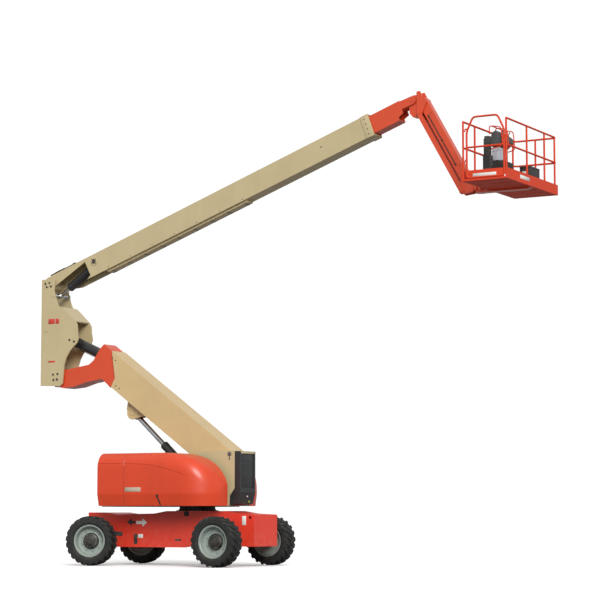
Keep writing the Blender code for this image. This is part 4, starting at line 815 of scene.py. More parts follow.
# ---- Tower boom -------------------------------------------------------------------------------
# A welded plate box in warm tan that pivots at the turntable, with lugs below for its lift ram.
# An orange gooseneck slides out of its high end and carries the upright.
warm_tan = enamel("warm tan enamel", tone(198, 172, 124), 0.42, 0.5, 0.28, 0.15, 1.5, tone(150, 96, 62))
boom_orange = enamel("boom orange", tone(204, 68, 30), 0.36, 0.55, 0.22, 0.3, 1.2, tone(130, 100, 84))
repaint(warm_tan, "tower_base_boom")


def smooth_copy(name, node, material, body, sharp=32):
    """A CAD node's mesh with its doubles merged, smooth where it curves and flat on its plates."""
    bm = bmesh.new()
    bm.from_mesh(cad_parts[node].data)
    bmesh.ops.remove_doubles(bm, verts=bm.verts, dist=2e-5)
    bmesh.ops.dissolve_limit(bm, angle_limit=math.radians(0.5), verts=bm.verts, edges=bm.edges)
    rough = bpy.data.meshes.new(name + "_rough")
    bm.to_mesh(rough)
    bm.free()
    for polygon in rough.polygons:
        polygon.use_smooth = True
    rough.set_sharp_from_angle(angle=math.radians(sharp))
    holder = bpy.data.objects.new(name + "_rough", rough)
    bpy.context.scene.collection.objects.link(holder)
    weights = holder.modifiers.new("weights", "WEIGHTED_NORMAL")
    weights.keep_sharp = True
    graph = bpy.context.evaluated_depsgraph_get()
    mesh = bpy.data.meshes.new_from_object(holder.evaluated_get(graph), depsgraph=graph)
    bpy.data.objects.remove(holder)
    bpy.data.meshes.remove(rough)
    return finish_piece(name, mesh, material, body, None, (node,))


smooth_copy("gooseneck", "tower_fly_boom", boom_orange, "tower_fly")
nylon = grained("wear pad nylon", tone(52, 50, 46), 0.55, 0.2, 90.0, 0.4)


def boom_place(x, z, angle):
    """The boom's own axes, +x along it from its pivot pin, stood in the machine."""
    return Matrix.Translation((x, 0, z)) @ Matrix.Rotation(-math.radians(angle), 4, "Y")


tower_place = boom_place(pivot_x, pivot_z, -36)
tower_half, tower_mouth = 0.25, -3.63
pads = bmesh.new()
for side in (-1, 1):
    for x, z in ((tower_mouth + 0.52, -0.47), (tower_mouth + 0.62, -0.47), (tower_mouth + 0.10, -0.05),
                 (tower_mouth + 0.20, -0.05)):
        add_hex(pads, tower_place @ Vector((x, side * tower_half, z)), (0, side, 0), 0.012, 0.011)
    for x in (-2.66, -2.38):
        add_hex(pads, tower_place @ Vector((x, side * 0.11, -0.66)), (0, side, 0), 0.010, 0.010)
make_piece("tower_pad_bolts", pads, bolt_zinc, "tower_base")
doubler = bmesh.new()
for side in (-1, 1):
    ys = sorted((side * (tower_half - 0.001), side * (tower_half + 0.008)))
    add_plate(doubler, [(-0.36, -0.20), (-0.10, -0.13), (0.02, -0.09), (0.045, 0.0), (0.0, 0.045),
                        (-0.36, 0.045)], *ys, tower_place)
make_piece("tower_doublers", doubler, warm_tan, "tower_base")


# ---- Lift and levelling rams ------------------------------------------------------------------
# Hydraulic cylinders: a black enamelled barrel with welded ports and a gland nut, a hard-chromed
# rod with a wiper at the gland, and a forged eye on a cross pin at each end.
def chrome_group():
    """Ground chrome: fine rings round the rod and a thin broken film of oil."""
    tree, given, made = new_group(
        "ground chrome", (("Base", "Color"), ("Roughness", "Float")),
        (("Color", "Color"), ("Roughness", "Float"), ("Normal", "Vector")),
    )
    place = add_node(tree, "ShaderNodeTexCoord").outputs["Object"]
    rings = noise_of(tree, place, 240.0, 1.0)
    film = span(tree, noise_of(tree, place, 7.0), 0.42, 0.62)
    tint = add_node(tree, "ShaderNodeHueSaturation", {
        "Value": span(tree, film, 0.0, 1.0, 1.0, 0.78), "Color": given.outputs["Base"],
    })
    rough = sum_of(tree, "ADD", given.outputs["Roughness"], span(tree, film, 0.0, 1.0, 0.0, 0.14))
    bump = add_node(tree, "ShaderNodeBump", {"Strength": 0.08, "Distance": 0.0005, "Height": rings})
    tree.links.new(tint.outputs[0], made.inputs["Color"])
    tree.links.new(rough, made.inputs["Roughness"])
    tree.links.new(bump.outputs[0], made.inputs["Normal"])
    return tree


rod_chrome = finish_from("rod chrome", chrome_group(), {"Base": tone(206, 208, 210), "Roughness": 0.12},
                         {"Metallic": 1.0})


def lift_ram(name, foot, far, barrel_length, radius, rod_radius, eye, half_eye, pin_half, retract,
             barrel_body, rod_body, port_side=1):
    """The pieces of one ram, foot pin to far pin, both given as (x, z)."""
    run = Vector((far[0] - foot[0], 0, far[1] - foot[1]))
    angle = math.degrees(math.atan2(run.z, run.x))
    place = boom_place(foot[0], foot[1], angle)
    along = place @ Matrix.Rotation(math.radians(-90), 4, "Z")
    shoulder = eye * 1.25 + 0.02
    barrel = bmesh.new()
    profile = [
        (radius * 0.86, shoulder), (radius, shoulder + 0.010), (radius, barrel_length - 0.090),
        (radius * 1.05, barrel_length - 0.086), (radius * 1.05, barrel_length - 0.020),
        (radius * 0.98, barrel_length - 0.016), (radius * 0.98, barrel_length - 0.004),
        (radius * 0.94, barrel_length), (rod_radius + 0.010, barrel_length),
        (rod_radius + 0.008, barrel_length + 0.006), (rod_radius + 0.002, barrel_length + 0.006),
        (rod_radius + 0.002, shoulder + 0.060), (radius * 0.3, shoulder + 0.058),
        (radius * 0.3, shoulder),
    ]
    add_turned(barrel, profile, 56, along)
    add_box(barrel, (eye * 0.6, -half_eye * 0.97, -eye * 0.8), (shoulder + 0.012, half_eye * 0.97, eye * 0.8),
            0.008, place)
    add_turned(barrel, [
        (0.0355, -half_eye), (eye - 0.003, -half_eye), (eye, -half_eye + 0.003), (eye, half_eye - 0.003),
        (eye - 0.003, half_eye), (0.0355, half_eye),
    ], 48, place)
    for x in (shoulder + 0.05, barrel_length - 0.15):
        foot_at = place @ Vector((x, 0, port_side * (radius - 0.004)))
        head_at = place @ Vector((x, 0, port_side * (radius + 0.020)))
        add_round(barrel, foot_at, head_at, 0.017, 20)
    pipe = [(shoulder + 0.05, 0, radius + 0.018), (shoulder + 0.09, 0, radius + 0.026),
            (shoulder + 0.16, 0, radius + 0.014), (barrel_length - 0.26, 0, radius + 0.012),
            (barrel_length - 0.19, 0, radius + 0.026), (barrel_length - 0.15, 0, radius + 0.018)]
    add_swept(barrel, [place @ Vector((x, 0, port_side * z)) for x, _, z in
                       (tuple(point) for point in curved(pipe, 6))], 0.007, 10)
    make_piece(f"{name}_barrel_fine", barrel, ram_black, barrel_body, 35, (f"{name}_barrel",))
    shaft = bmesh.new()
    length = run.length
    start = shoulder + 0.062 + retract
    add_turned(shaft, [
        (rod_radius * 0.9, start), (rod_radius, start + 0.004), (rod_radius, length - eye * 0.5),
        (rod_radius * 0.6, length - eye * 0.4),
    ], 48, along, False)
    add_turned(shaft, [
        (0.001, -half_eye), (eye - 0.003, -half_eye), (eye, -half_eye + 0.003), (eye, half_eye - 0.003),
        (eye - 0.003, half_eye), (0.001, half_eye),
    ], 48, place @ Matrix.Translation((length, 0, 0)), False)
    if pin_half > half_eye:
        add_round(shaft, place @ Vector((length, -pin_half, 0)), place @ Vector((length, pin_half, 0)),
                  0.035, 32, 0.003)
    make_piece(f"{name}_rod_fine", shaft, rod_chrome, rod_body, 35, (f"{name}_rod",))


tower_lug = tower_place @ Vector((-2.517, 0, -0.745))
lift_ram("tower_lift", (-1.46826, 1.391), (tower_lug.x, tower_lug.z), 1.58, 0.085, 0.05, 0.055, 0.0745,
         0.0735, 0.64, "tower_ram_barrel", "tower_ram_rod")


# ---- Upright ----------------------------------------------------------------------------------
# Two tan cheek plates joined by back plates, on the gooseneck's foot pin. The main boom pivots
# at its head, and hoses loop over to the boom beside the pin.
foot_x, foot_z = -5.2053, 3.9153
smooth_copy("upright_plates", "upright", tan_enamel, "upright")
upright_face = 0.27
upright_bolts = bmesh.new()
for x, z in ((-5.489, 5.904), (-5.385, 5.919), (-5.449, 5.837), (-5.344, 5.842), (-4.847, 4.682),
             (-4.731, 4.646), (-5.147, 3.975), (-5.262, 3.965), (-5.158, 3.859), (-5.250, 3.850)):
    for side in (-1, 1):
        add_hex(upright_bolts, (x, side * upright_face, z), (0, side, 0), 0.020, 0.014)
make_piece("upright_bolts", upright_bolts, cast_black, "upright")
label_red = enamel("blank plate red", tone(196, 60, 44), 0.35, 0.3, 0.15, 0.1, 1.0, tone(222, 214, 200))
stripes = bmesh.new()
for side in (-1, 1):
    ys = sorted((side * 0.2695, side * 0.2713))
    add_box(stripes, (-5.390, ys[0], 4.222), (-5.210, ys[1], 4.262), 0.0005)
    add_box(stripes, (-5.400, ys[0], 5.040), (-5.230, ys[1], 5.150), 0.0005)
    add_box(stripes, (-5.210, ys[0], 5.040), (-5.120, ys[1], 5.150), 0.0005)
make_piece("upright_stripes", stripes, label_red, "upright")
hose_rubber = grained("hose rubber", tone(24, 25, 26), 0.62, 0.3, 150.0, 0.5)
hoses = bmesh.new()
for k in range(4):
    y = -0.205 + 0.022 * k
    route = [(-5.560, y, 4.75), (-5.560, y, 5.45), (-5.545, y, 5.78), (-5.500, y, 5.93),
             (-5.430, y, 5.985), (-5.340, y, 5.975), (-5.290, y, 5.945)]
    add_swept(hoses, curved(route, 8), 0.0085, 10)
for z in (4.85, 5.15, 5.45):
    add_box(hoses, (-5.580, -0.225, z - 0.015), (-5.548, -0.118, z + 0.015), 0.003)
make_piece("upright_hoses", hoses, hose_rubber, "upright", 60)
lift_ram("level", (-3.9653, 4.2703), (foot_x - 0.260, foot_z + 1.000), 0.95, 0.105, 0.05, 0.085, 0.11,
         0.238, 0.585, "level_ram_barrel", "level_ram_rod", 1)


# ---- Main boom --------------------------------------------------------------------------------
# A long tan box boom with a telescoping orange section on nylon pads. Its lift ram sits in the
# open channel at its foot, and a steel tray for hoses runs under it.
repaint(tan_enamel, "main_base_boom")
smooth_copy("main_fly", "main_fly_boom", boom_orange, "main_fly")
main_place = boom_place(-5.4233, 5.8793, 20)
main_half, main_top, main_bottom, main_length = 0.17, 0.19, -0.25, 8.17
collar = bmesh.new()
band = 0.011  # thickness of the collar's plates
wide, over, under = main_half + band, main_top + band, main_bottom - band
for y_low, z_low, y_high, z_high in (
    (-wide, under, -main_half, over), (main_half, under, wide, over),
    (-main_half - 0.002, main_top, main_half + 0.002, over),
    (-main_half - 0.002, under, main_half + 0.002, main_bottom),
):
    low, high = (main_length - 0.185, y_low, z_low), (main_length - 0.010, y_high, z_high)
    add_box(collar, low, high, 0.002, main_place)
make_piece("main_collar", collar, tan_enamel, "main_base")
for side, side_name in ((-1, "right"), (1, "left")):
    bolt = bmesh.new()
    add_hex(bolt, (0, side * (main_half + 0.0105), 0), (0, side, 0), 0.011, 0.010)
    repeated(f"collar_bolts_{side_name}", bolt, 4, (0, 0, 0.105), (0, 0, 0), bolt_zinc,
             main_place @ Matrix.Translation((main_length - 0.10, 0, -0.19)), "main_base")
    stitch = bmesh.new()
    add_hex(stitch, (0, side * (main_half - 0.0005), 0), (0, side, 0), 0.009, 0.008)
    repeated(f"tray_bolts_{side_name}", stitch, 7, (0.58, 0, 0), (0, 0, 0), bolt_zinc,
             main_place @ Matrix.Translation((1.50, 0, main_bottom + 0.035)), "main_base")
main_pin = main_place @ Vector((1.202, 0, 0.040))
pin_plates = bmesh.new()
for side in (-1, 1):
    y = side * (main_half + 0.0115)
    add_round(pin_plates, (main_pin.x, y, main_pin.z), (main_pin.x, y + side * 0.008, main_pin.z), 0.050, 32)
    for turn in (45, 135, 225, 315):
        angle = math.radians(turn)
        at = main_pin + Vector((math.cos(angle), 0, math.sin(angle))) * 0.066
        add_hex(pin_plates, (at.x, y, at.z), (0, side, 0), 0.008, 0.008)
make_piece("main_ram_pin_caps", pin_plates, cast_black, "main_base")
clips = bmesh.new()
add_round(clips, main_place @ Vector((7.00, -main_half + 0.001, 0.02)),
          main_place @ Vector((7.00, -main_half - 0.007, 0.02)), 0.014, 20)
for x in (1.75, 3.22):
    add_box(clips, (x, -0.06, main_top - 0.001), (x + 0.22, 0.06, main_top + 0.014), 0.004, main_place)
make_piece("main_boom_clips", clips, nylon, "main_base")
rib = bmesh.new()
add_plate(rib, [(0.0, 0.0), (0.030, 0.0), (0.024, -0.006), (0.006, -0.006)], -0.098, 0.098)
repeated("tray_straps", rib, 9, (0.43, 0, 0), (0, 0, 0), bolt_zinc,
         main_place @ Matrix.Translation((1.50, 0, main_bottom - 0.0448)), "main_base")
ram_foot = Vector((-5.4233 + 0.147, 0, 5.8793 - 0.229))
lift_ram("main_lift", (main_pin.x, main_pin.z), (ram_foot.x, ram_foot.z), 0.90, 0.085, 0.045, 0.06, 0.08,
         0.238, 0.10, "main_ram_barrel", "main_ram_rod")
loop = bmesh.new()
for k in range(4):
    y = -0.160 + 0.024 * k
    route = [(0.06, y, main_top + 0.012), (0.32, y, main_top + 0.022), (0.50, y, main_top + 0.012),
             (0.74, y, main_top + 0.012)]
    add_swept(loop, [main_place @ point for point in curved(route, 6)], 0.0085, 10)
add_box(loop, (0.68, -0.176, main_top - 0.001), (0.74, -0.070, main_top + 0.026), 0.003, main_place)
add_box(loop, (0.42, -0.176, main_top - 0.001), (0.45, -0.070, main_top + 0.026), 0.003, main_place)
make_piece("main_boom_hoses", loop, hose_rubber, "main_base", 60)


# ---- Knuckle, jib and links -------------------------------------------------------------------
# Orange forged and welded parts: the knuckle stays level under the boom's end, and a parallel
# pair of links below the jib bar keeps the platform level. Pins are held by bolted caps.
for name, node, body in (
    ("knuckle_fine", "platform_knuckle", "knuckle"), ("jib_bar", "jib_boom", "jib"),
    ("link_right", "jib_link_right", "jib_links"), ("link_left", "jib_link_left", "jib_links"),
    ("jib_head_fine", "jib_head", "jib_head"), ("rotator_support", "platform_support", "platform"),
):
    smooth_copy(name, node, boom_orange, body)
for name, body, x, z, face, radius in (
    ("boom_end_caps", "main_fly", 3.1407, 9.0442, 0.134, 0.046),
    ("jib_foot_caps", "jib_head", 4.2479, 7.4134, 0.119, 0.044),
):
    caps = bmesh.new()
    for side in (-1, 1):
        add_round(caps, (x, side * (face - 0.001), z), (x, side * (face + 0.005), z), radius, 32)
        add_hex(caps, (x, side * (face + 0.0045), z), (0, side, 0), 0.012, 0.0035)
    make_piece(name, caps, boom_orange, body)
jib_place = boom_place(3.3467, 9.0062, -60.5)
jib_fittings = bmesh.new()
for side in (-1, 1):
    for x in (0.30, 1.52):
        add_hex(jib_fittings, jib_place @ Vector((x, side * 0.0848, 0.03)), (0, side, 0), 0.008, 0.007)
    pipe = [jib_place @ Vector((x, side * 0.0945, -0.030)) for x in (0.30, 0.9, 1.50)]
    add_swept(jib_fittings, pipe, 0.008, 12)
    for x in (0.34, 0.9, 1.46):
        add_box(jib_fittings, (x - 0.018, min(side * 0.084, side * 0.104), -0.042),
                (x + 0.018, max(side * 0.084, side * 0.104), -0.018), 0.003, jib_place)
make_piece("jib_pipes", jib_fittings, hose_rubber, "jib", 50)
rotator_bolt = bmesh.new()
add_hex(rotator_bolt, (0.092, 0, 0), (0, 1, 0), 0.009, 0.009)
repeated("rotator_bolts", rotator_bolt, 12, (0, 0, 0), (0, math.tau / 12, 0), bolt_zinc,
         standing(4.53294, 0, 7.4134 + 0.0848), "platform")


# ---- Platform floor and rails -----------------------------------------------------------------
# A folded floor tray with a toe board, and guard rails of round tube bent at the corners and
# welded at every joint, in dark orange. The short side is closed by a hoop gate.
rail_orange = enamel("rail orange", tone(206, 66, 38), 0.55, 0.3, 0.08, 0.0, 1.2, tone(120, 112, 104))
rail_orange.node_tree.nodes["Principled BSDF"].inputs["Specular IOR Level"].default_value = 0.15
repaint(rail_orange, "platform_floor")
near, far, half_long = 4.6980, 5.6080, 1.22
floor_under, toe = 7.1684, 0.20
rail_radius = 0.019
inset = rail_radius + 0.001
rail_x, far_x, rail_y = near + inset, far - inset, half_long - inset
rail_foot, rail_top = floor_under + toe + 0.0003, floor_under + 1.14 - rail_radius
rail_middle = (rail_foot + rail_top) / 2 - 0.03


def bent(points, radius=0.07, steps=6, closed=False):
    """A path whose corners are bends of a radius."""
    points = [Vector(point) for point in points]
    count = len(points)
    path = []
    for i, point in enumerate(points):
        if not closed and i in (0, count - 1):
            path.append(point)
            continue
        before, after = points[i - 1], points[(i + 1) % count]
        to_before, to_after = (before - point), (after - point)
        reach = min(radius, to_before.length * 0.45, to_after.length * 0.45)
        start, end = point + to_before.normalized() * reach, point + to_after.normalized() * reach
        for step in range(steps + 1):
            t = step / steps
            path.append(start * (1 - t) ** 2 + point * 2 * t * (1 - t) + end * t * t)
    return path


rails = bmesh.new()
for z in (rail_top, rail_middle):
    corners = [(rail_x, -rail_y, z), (rail_x, rail_y, z), (far_x, rail_y, z), (far_x, -rail_y, z)]
    add_swept(rails, bent(corners, 0.09), rail_radius, 16)
posts = [(rail_x, y) for y in (-rail_y, -0.68, 0.20, rail_y - 0.09)]
posts += [(far_x, y) for y in (-rail_y, -0.25, 0.60, rail_y - 0.09)]
posts.append(((rail_x + far_x) / 2, rail_y))
for x, y in posts:
    add_swept(rails, [(x, y, rail_foot), (x, y, rail_foot + 0.4), (x, y, rail_top)], rail_radius * 0.985, 16)
    add_box(rails, (x - 0.018, y - 0.018, rail_foot), (x + 0.018, y + 0.018, rail_foot + 0.006), 0.002)
for z in (floor_under + 0.38, floor_under + 1.14 - 0.18):
    add_box(rails, (rail_x + 0.01, -rail_y - 0.006, z - 0.03), (rail_x + 0.046, -rail_y + 0.006, z), 0.001)
make_piece("rails_fine", rails, rail_orange, "platform", 40, ("platform_rails",))
gate = bmesh.new()
gate_x = rail_x + 0.045
gate_start, gate_end = gate_x + 0.028, far_x - rail_radius * 2 - 0.006
gate_low, gate_rise = floor_under + 0.06, 0.075
hoop = [(gate_start, gate_low), (gate_start, rail_top - 0.20), (gate_start + 0.13, rail_top + gate_rise),
        (gate_end - 0.13, rail_top + gate_rise), (gate_end, rail_top - 0.20), (gate_end, gate_low)]
add_swept(gate, bent([(x, -rail_y, z) for x, z in hoop], 0.06, 6, True), rail_radius, 16, True)
add_swept(gate, [(gate_start, -rail_y, rail_middle), ((gate_start + gate_end) / 2, -rail_y, rail_middle),
                 (gate_end, -rail_y, rail_middle)], rail_radius * 0.985, 16)
for z in (floor_under + 0.38, floor_under + 1.14 - 0.18):
    add_box(gate, (gate_x - 0.010, -rail_y - 0.006, z + 0.0005),
            (gate_start + 0.007, -rail_y + 0.006, z + 0.03), 0.001)
add_box(gate, (gate_start, -rail_y - 0.004, floor_under + 0.034),
        (gate_end, -rail_y + 0.004, floor_under + toe), 0.002)
add_box(gate, (gate_end - 0.030, -rail_y - 0.012, rail_middle + 0.10),
        (gate_end + 0.012, -rail_y + 0.012, rail_middle + 0.16), 0.003)
make_piece("gate_fine", gate, rail_orange, "gate", 40, ("platform_gate",))
cross = bmesh.new()
add_plate(cross, [(0.0, 0.0), (0.0, -0.004), (0.78, -0.004), (0.78, 0.0)], -0.020, 0.020)
repeated("floor_ribs", cross, 7, (0, 0.36, 0), (0, 0, 0), rail_orange,
         Matrix.Translation((near + 0.065, -1.08, floor_under + 0.0002)), "platform")
bar = bmesh.new()
add_plate(bar, [(0.0, 0.0), (0.006, 0.004), (0.024, 0.004), (0.030, 0.0)], -0.0025, 0.0025)
tread_row = repeated_mesh("tread_row", bar, 15, (0.052, 0, 0), (0, 0, 0), bolt_zinc,
                          Matrix.Translation((near + 0.065, -1.16, floor_under + 0.0298)))
row = bmesh.new()
row.from_mesh(tread_row)
bpy.data.meshes.remove(tread_row)
deck_grey = grained("tread plate", tone(120, 118, 112), 0.5, 0.4, 60.0, 0.4, 0.6)
repeated("floor_tread", row, 50, (0, 0.0475, 0), (0, 0, 0), deck_grey, Matrix.Identity(4), "platform")
toe_bolt = bmesh.new()
add_hex(toe_bolt, (0, 0, 0), (-1, 0, 0), 0.008, 0.007)
repeated("toe_bolts", toe_bolt, 8, (0, 0.32, 0), (0, 0, 0), bolt_zinc,
         Matrix.Translation((near + 0.0002, -1.12, floor_under + 0.165)), "platform")


# ---- Platform fittings ------------------------------------------------------------------------
# A moulded control console with joysticks and switches under a bent guard hoop, a black power
# column beside it, and a lidded plastic tool box on the far rail.
console_grey = grained("console plastic", tone(62, 66, 68), 0.45, 0.25, 160.0, 0.5)
soft_black = grained("soft black plastic", tone(26, 27, 28), 0.5, 0.25, 170.0, 0.5)
repaint(box_black, "power_column")
switch_red = grained("switch red", tone(190, 36, 28), 0.35, 0.1, 200.0, 0.2)
rail_face, guard_top = 4.7373, 8.3084
console = bmesh.new()
console_line = [
    (0.004, -0.296), (0.004, -0.024), (0.100, 0.014), (0.252, -0.104), (0.252, -0.198), (0.138, -0.296),
]
add_plate(console, [(rail_face + x, guard_top + z) for x, z in console_line], 0.024, 0.516)
bmesh.ops.bevel(console, geom=list(console.edges), offset=0.012, segments=3, profile=0.6, affect="EDGES")
make_piece("console_shell", console, console_grey, "platform", 40, ("control_console",))
panel_turn = math.atan2(-0.118, 0.152)
panel_place = Matrix.Translation((rail_face + 0.176, 0, guard_top - 0.045))
panel_place @= Matrix.Rotation(-panel_turn, 4, "Y")


def on_panel(x, y, z):
    """A place on the control panel for a turned part that stands up from it."""
    return panel_place @ Matrix.Translation((x, y, z)) @ Matrix.Rotation(math.radians(90), 4, "X")


keys = bmesh.new()
add_box(keys, (-0.078, 0.050, -0.002), (0.078, 0.490, 0.004), 0.002, panel_place)
for y in (0.115, 0.425):
    add_turned(keys, [(0.026, 0.0), (0.024, 0.008), (0.012, 0.016)], 28,
               on_panel(0, y, 0.003), False)
    add_round(keys, panel_place @ Vector((0, y, 0.012)), panel_place @ Vector((-0.006, y, 0.060)), 0.008, 20)
    add_turned(keys, [(0.006, 0.0), (0.013, 0.010), (0.014, 0.022), (0.009, 0.030)], 24,
               on_panel(-0.006, y, 0.052), False)
make_piece("console_controls", keys, soft_black, "platform", 40)
toggle = bmesh.new()
add_round(toggle, (0, 0, 0.003), (0, 0, 0.010), 0.009, 20)
add_round(toggle, (0, 0, 0.008), (0.006, 0, 0.026), 0.0035, 12)
repeated("console_switches", toggle, 7, (0, 0.034, 0), (0, 0, 0), bolt_zinc,
         panel_place @ Matrix.Translation((0.030, 0.170, 0)), "platform")
stop_button = bmesh.new()
add_turned(stop_button, [(0.010, 0.0), (0.010, 0.014), (0.020, 0.016), (0.021, 0.026), (0.014, 0.031)], 32,
           on_panel(-0.045, 0.270, 0.003), False)
make_piece("console_stop", stop_button, switch_red, "platform", 40)
panel_grey = grained("console panel grey", tone(176, 182, 188), 0.45, 0.15, 150.0, 0.4)
panel = bmesh.new()
add_box(panel, (rail_face, 0.05, guard_top - 0.560), (rail_face + 0.150, 0.490, guard_top - 0.305), 0.010)
for y in (0.12, 0.27, 0.42):
    add_box(panel, (rail_face - 0.003, y - 0.045, guard_top - 0.54),
            (rail_face + 0.002, y + 0.045, guard_top - 0.33), 0.002)
make_piece("console_panel", panel, panel_grey, "platform", 40)
foot = bmesh.new()
add_box(foot, (rail_face, 0.03, guard_top - 0.735), (rail_face + 0.250, 0.510, guard_top - 0.570), 0.012)
for y in (0.10, 0.26, 0.42):
    add_box(foot, (rail_face + 0.240, y - 0.05, guard_top - 0.72),
            (rail_face + 0.254, y + 0.05, guard_top - 0.59), 0.004)
make_piece("console_foot", foot, soft_black, "platform", 40)
label_pale = enamel("pale blank label", tone(214, 214, 208), 0.4, 0.1, 0.1, 0.0, 1.0)
toe_label = bmesh.new()
add_box(toe_label, (gate_start + 0.12, -rail_y - 0.0052, floor_under + 0.075),
        (gate_end - 0.16, -rail_y - 0.0035, floor_under + 0.135), 0.0004)
make_piece("gate_label", toe_label, label_pale, "gate")
side_label = bmesh.new()
add_box(side_label, (far - 0.0005, -0.62, floor_under + 0.075),
        (far + 0.0012, -0.18, floor_under + 0.145), 0.0004)
make_piece("toe_board_label", side_label, label_pale, "platform")
fronts = bmesh.new()
add_box(fronts, (rail_face - 0.0407, 0.06, guard_top - 0.235),
        (rail_face - 0.0395, 0.30, guard_top - 0.075), 0.0004)
make_piece("console_label", fronts, label_pale, "platform")
hoop_guard = bmesh.new()
for y in (-0.02, 0.27, 0.56):
    path = bent([(rail_face - 0.012, y, guard_top - 0.06), (rail_face - 0.012, y, guard_top + 0.105),
                 (rail_face + 0.23, y, guard_top + 0.060), (rail_face + 0.262, y, guard_top - 0.30),
                 (rail_face - 0.012, y, guard_top - 0.36)], 0.06)
    add_swept(hoop_guard, path, 0.011, 12)
add_swept(hoop_guard, [(rail_face + 0.04, y, guard_top + 0.092) for y in (-0.02, 0.27, 0.56)], 0.011, 12)
make_piece("console_guard", hoop_guard, rail_orange, "platform", 50)
column = bmesh.new()
add_box(column, (4.745, -0.345, 7.7875), (4.855, -0.215, 8.110), 0.010)
add_box(column, (4.755, -0.330, 8.105), (4.845, -0.230, 8.160), 0.006)
for z in (7.86, 7.94, 8.02):
    add_round(column, (4.854, -0.280, z), (4.870, -0.280, z), 0.020, 24, 0.004)
for z in (7.30, 7.52, 7.70):
    add_box(column, (4.7365, -0.364, z), (4.881, -0.196, z + 0.018), 0.003)
add_box(column, (4.875, -0.325, 7.56), (4.8815, -0.235, 7.66), 0.002)
make_piece("column_straps", column, cast_black, "platform")
column_lamp = bmesh.new()
add_round(column_lamp, (4.880, -0.28, 7.61), (4.886, -0.28, 7.61), 0.014, 24)
make_piece("column_socket", column_lamp, bolt_zinc, "platform")
chest = bmesh.new()
add_box(chest, (5.351, -0.048, 7.1995), (5.567, 0.418, 7.530), 0.012)
add_box(chest, (5.3492, -0.0502, 7.527), (5.5685, 0.4202, 7.5684), 0.008)
for y in (0.03, 0.34):
    add_box(chest, (5.341, y - 0.020, 7.485), (5.352, y + 0.020, 7.550), 0.003)
for i in range(5):
    add_box(chest, (5.3488, 0.02 + 0.075 * i, 7.24), (5.354, 0.032 + 0.075 * i, 7.44), 0.002)
make_piece("tool_chest", chest, soft_black, "platform", 40, ("tool_box",))
chest_label = bmesh.new()
add_box(chest_label, (5.3478, 0.13, 7.455), (5.3492, 0.27, 7.505), 0.0004)
add_box(chest_label, (5.405, -0.0496, 7.380), (5.515, -0.0474, 7.470), 0.0004)
make_piece("tool_chest_label", chest_label, label_pale, "platform")
pedal = bmesh.new()
add_box(pedal, (5.02, -0.14, floor_under + 0.0335), (5.17, 0.02, floor_under + 0.050), 0.005)
pedal_tread = [(0.0, 0.0), (0.0, 0.050), (0.012, 0.052), (0.130, 0.018), (0.130, 0.0)]
add_plate(pedal, [(5.03 + x, floor_under + 0.048 + z) for x, z in pedal_tread], -0.115, -0.005)
make_piece("foot_switch", pedal, soft_black, "platform", 40)
anchors = bmesh.new()
for y in (-0.13, 0.86):
    ring = ((0.016, -0.025), (0.050, -0.025), (0.050, 0.025), (0.016, 0.025))
    ring_path = bent([(rail_x + x, y + aside, rail_middle - 0.012) for x, aside in ring], 0.02)
    add_swept(anchors, ring_path, 0.006, 12)
make_piece("harness_anchors", anchors, bolt_zinc, "platform", 50)


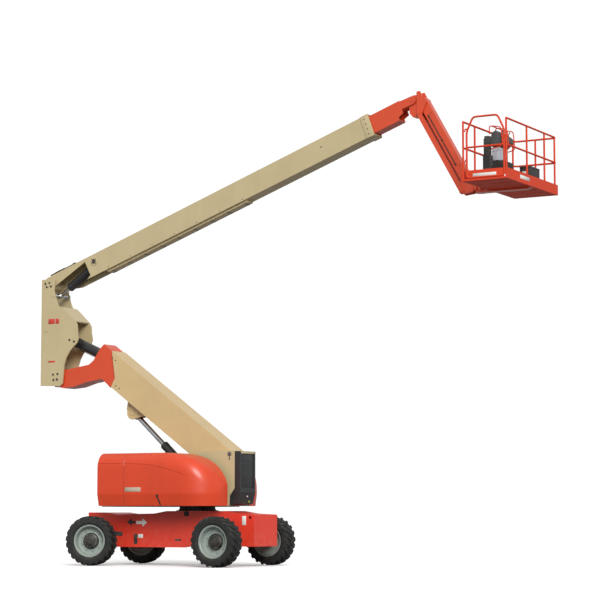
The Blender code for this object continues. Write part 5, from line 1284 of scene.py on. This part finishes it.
# ---- Floor, light and camera ------------------------------------------------------------------
# A white studio sweep under a large soft light, seen from low on the machine's right side.
floor_paint = bpy.data.materials.new("studio floor")
floor_paint.use_nodes = True
floor_shader = floor_paint.node_tree.nodes["Principled BSDF"]
floor_shader.inputs["Roughness"].default_value = 0.95
floor_shader.inputs["Specular IOR Level"].default_value = 0.1
floor_shader.inputs["Emission Color"].default_value = tone(255, 255, 255)
floor_rays = floor_paint.node_tree.nodes.new("ShaderNodeLightPath")
floor_glow = add_node(floor_paint.node_tree, "ShaderNodeMath", {
    0: floor_rays.outputs["Is Camera Ray"], 1: 0.22,
}, operation="MULTIPLY")
floor_paint.node_tree.links.new(floor_glow.outputs[0], floor_shader.inputs["Emission Strength"])
floor_tone = blend_of(
    floor_paint.node_tree, floor_rays.outputs["Is Camera Ray"], tone(138, 138, 138), tone(248, 248, 248)
)
floor_paint.node_tree.links.new(floor_tone, floor_shader.inputs["Base Color"])
floor_mesh = bpy.data.meshes.new("studio_floor")
floor_corners = [(x, y, -0.001) for x, y in ((-60, -60), (60, -60), (60, 60), (-60, 60))]
floor_mesh.from_pydata(floor_corners, [], [(0, 1, 2, 3)])
floor_mesh.materials.append(floor_paint)
studio_floor = bpy.data.objects.new("studio_floor", floor_mesh)
bpy.context.scene.collection.objects.link(studio_floor)

world = bpy.data.worlds.new("studio")
world.use_nodes = True
sky = world.node_tree
seen = sky.nodes["Background"]
seen.inputs["Color"].default_value = (1.0, 1.0, 1.0, 1.0)
rays = sky.nodes.new("ShaderNodeLightPath")
strength = sky.nodes.new("ShaderNodeMapRange")
strength.inputs["To Min"].default_value = 0.62
strength.inputs["To Max"].default_value = 1.05
sky.links.new(rays.outputs["Is Camera Ray"], strength.inputs["Value"])
sky.links.new(strength.outputs[0], seen.inputs["Strength"])
bpy.context.scene.world = world
bpy.context.scene.view_settings.view_transform = "Standard"

sun = bpy.data.lights.new("soft_sun", "SUN")
sun.energy = 2.95
sun.angle = math.radians(28)
sun_object = bpy.data.objects.new("soft_sun", sun)
sun_object.rotation_euler = Vector((-0.55, 0.65, -0.45)).to_track_quat("-Z", "Y").to_euler()
bpy.context.scene.collection.objects.link(sun_object)

camera = bpy.data.cameras.new("camera")
camera.lens = 123.5
camera.sensor_width = 36.0
camera.clip_end = 300.0
camera_object = bpy.data.objects.new("camera", camera)
camera_object.location = (20.566, -35.540, 1.1)
camera_object.rotation_euler = Vector((-0.48778, 0.86699, 0.10197)).to_track_quat("-Z", "Y").to_euler()
bpy.context.scene.collection.objects.link(camera_object)
bpy.context.scene.camera = camera_object
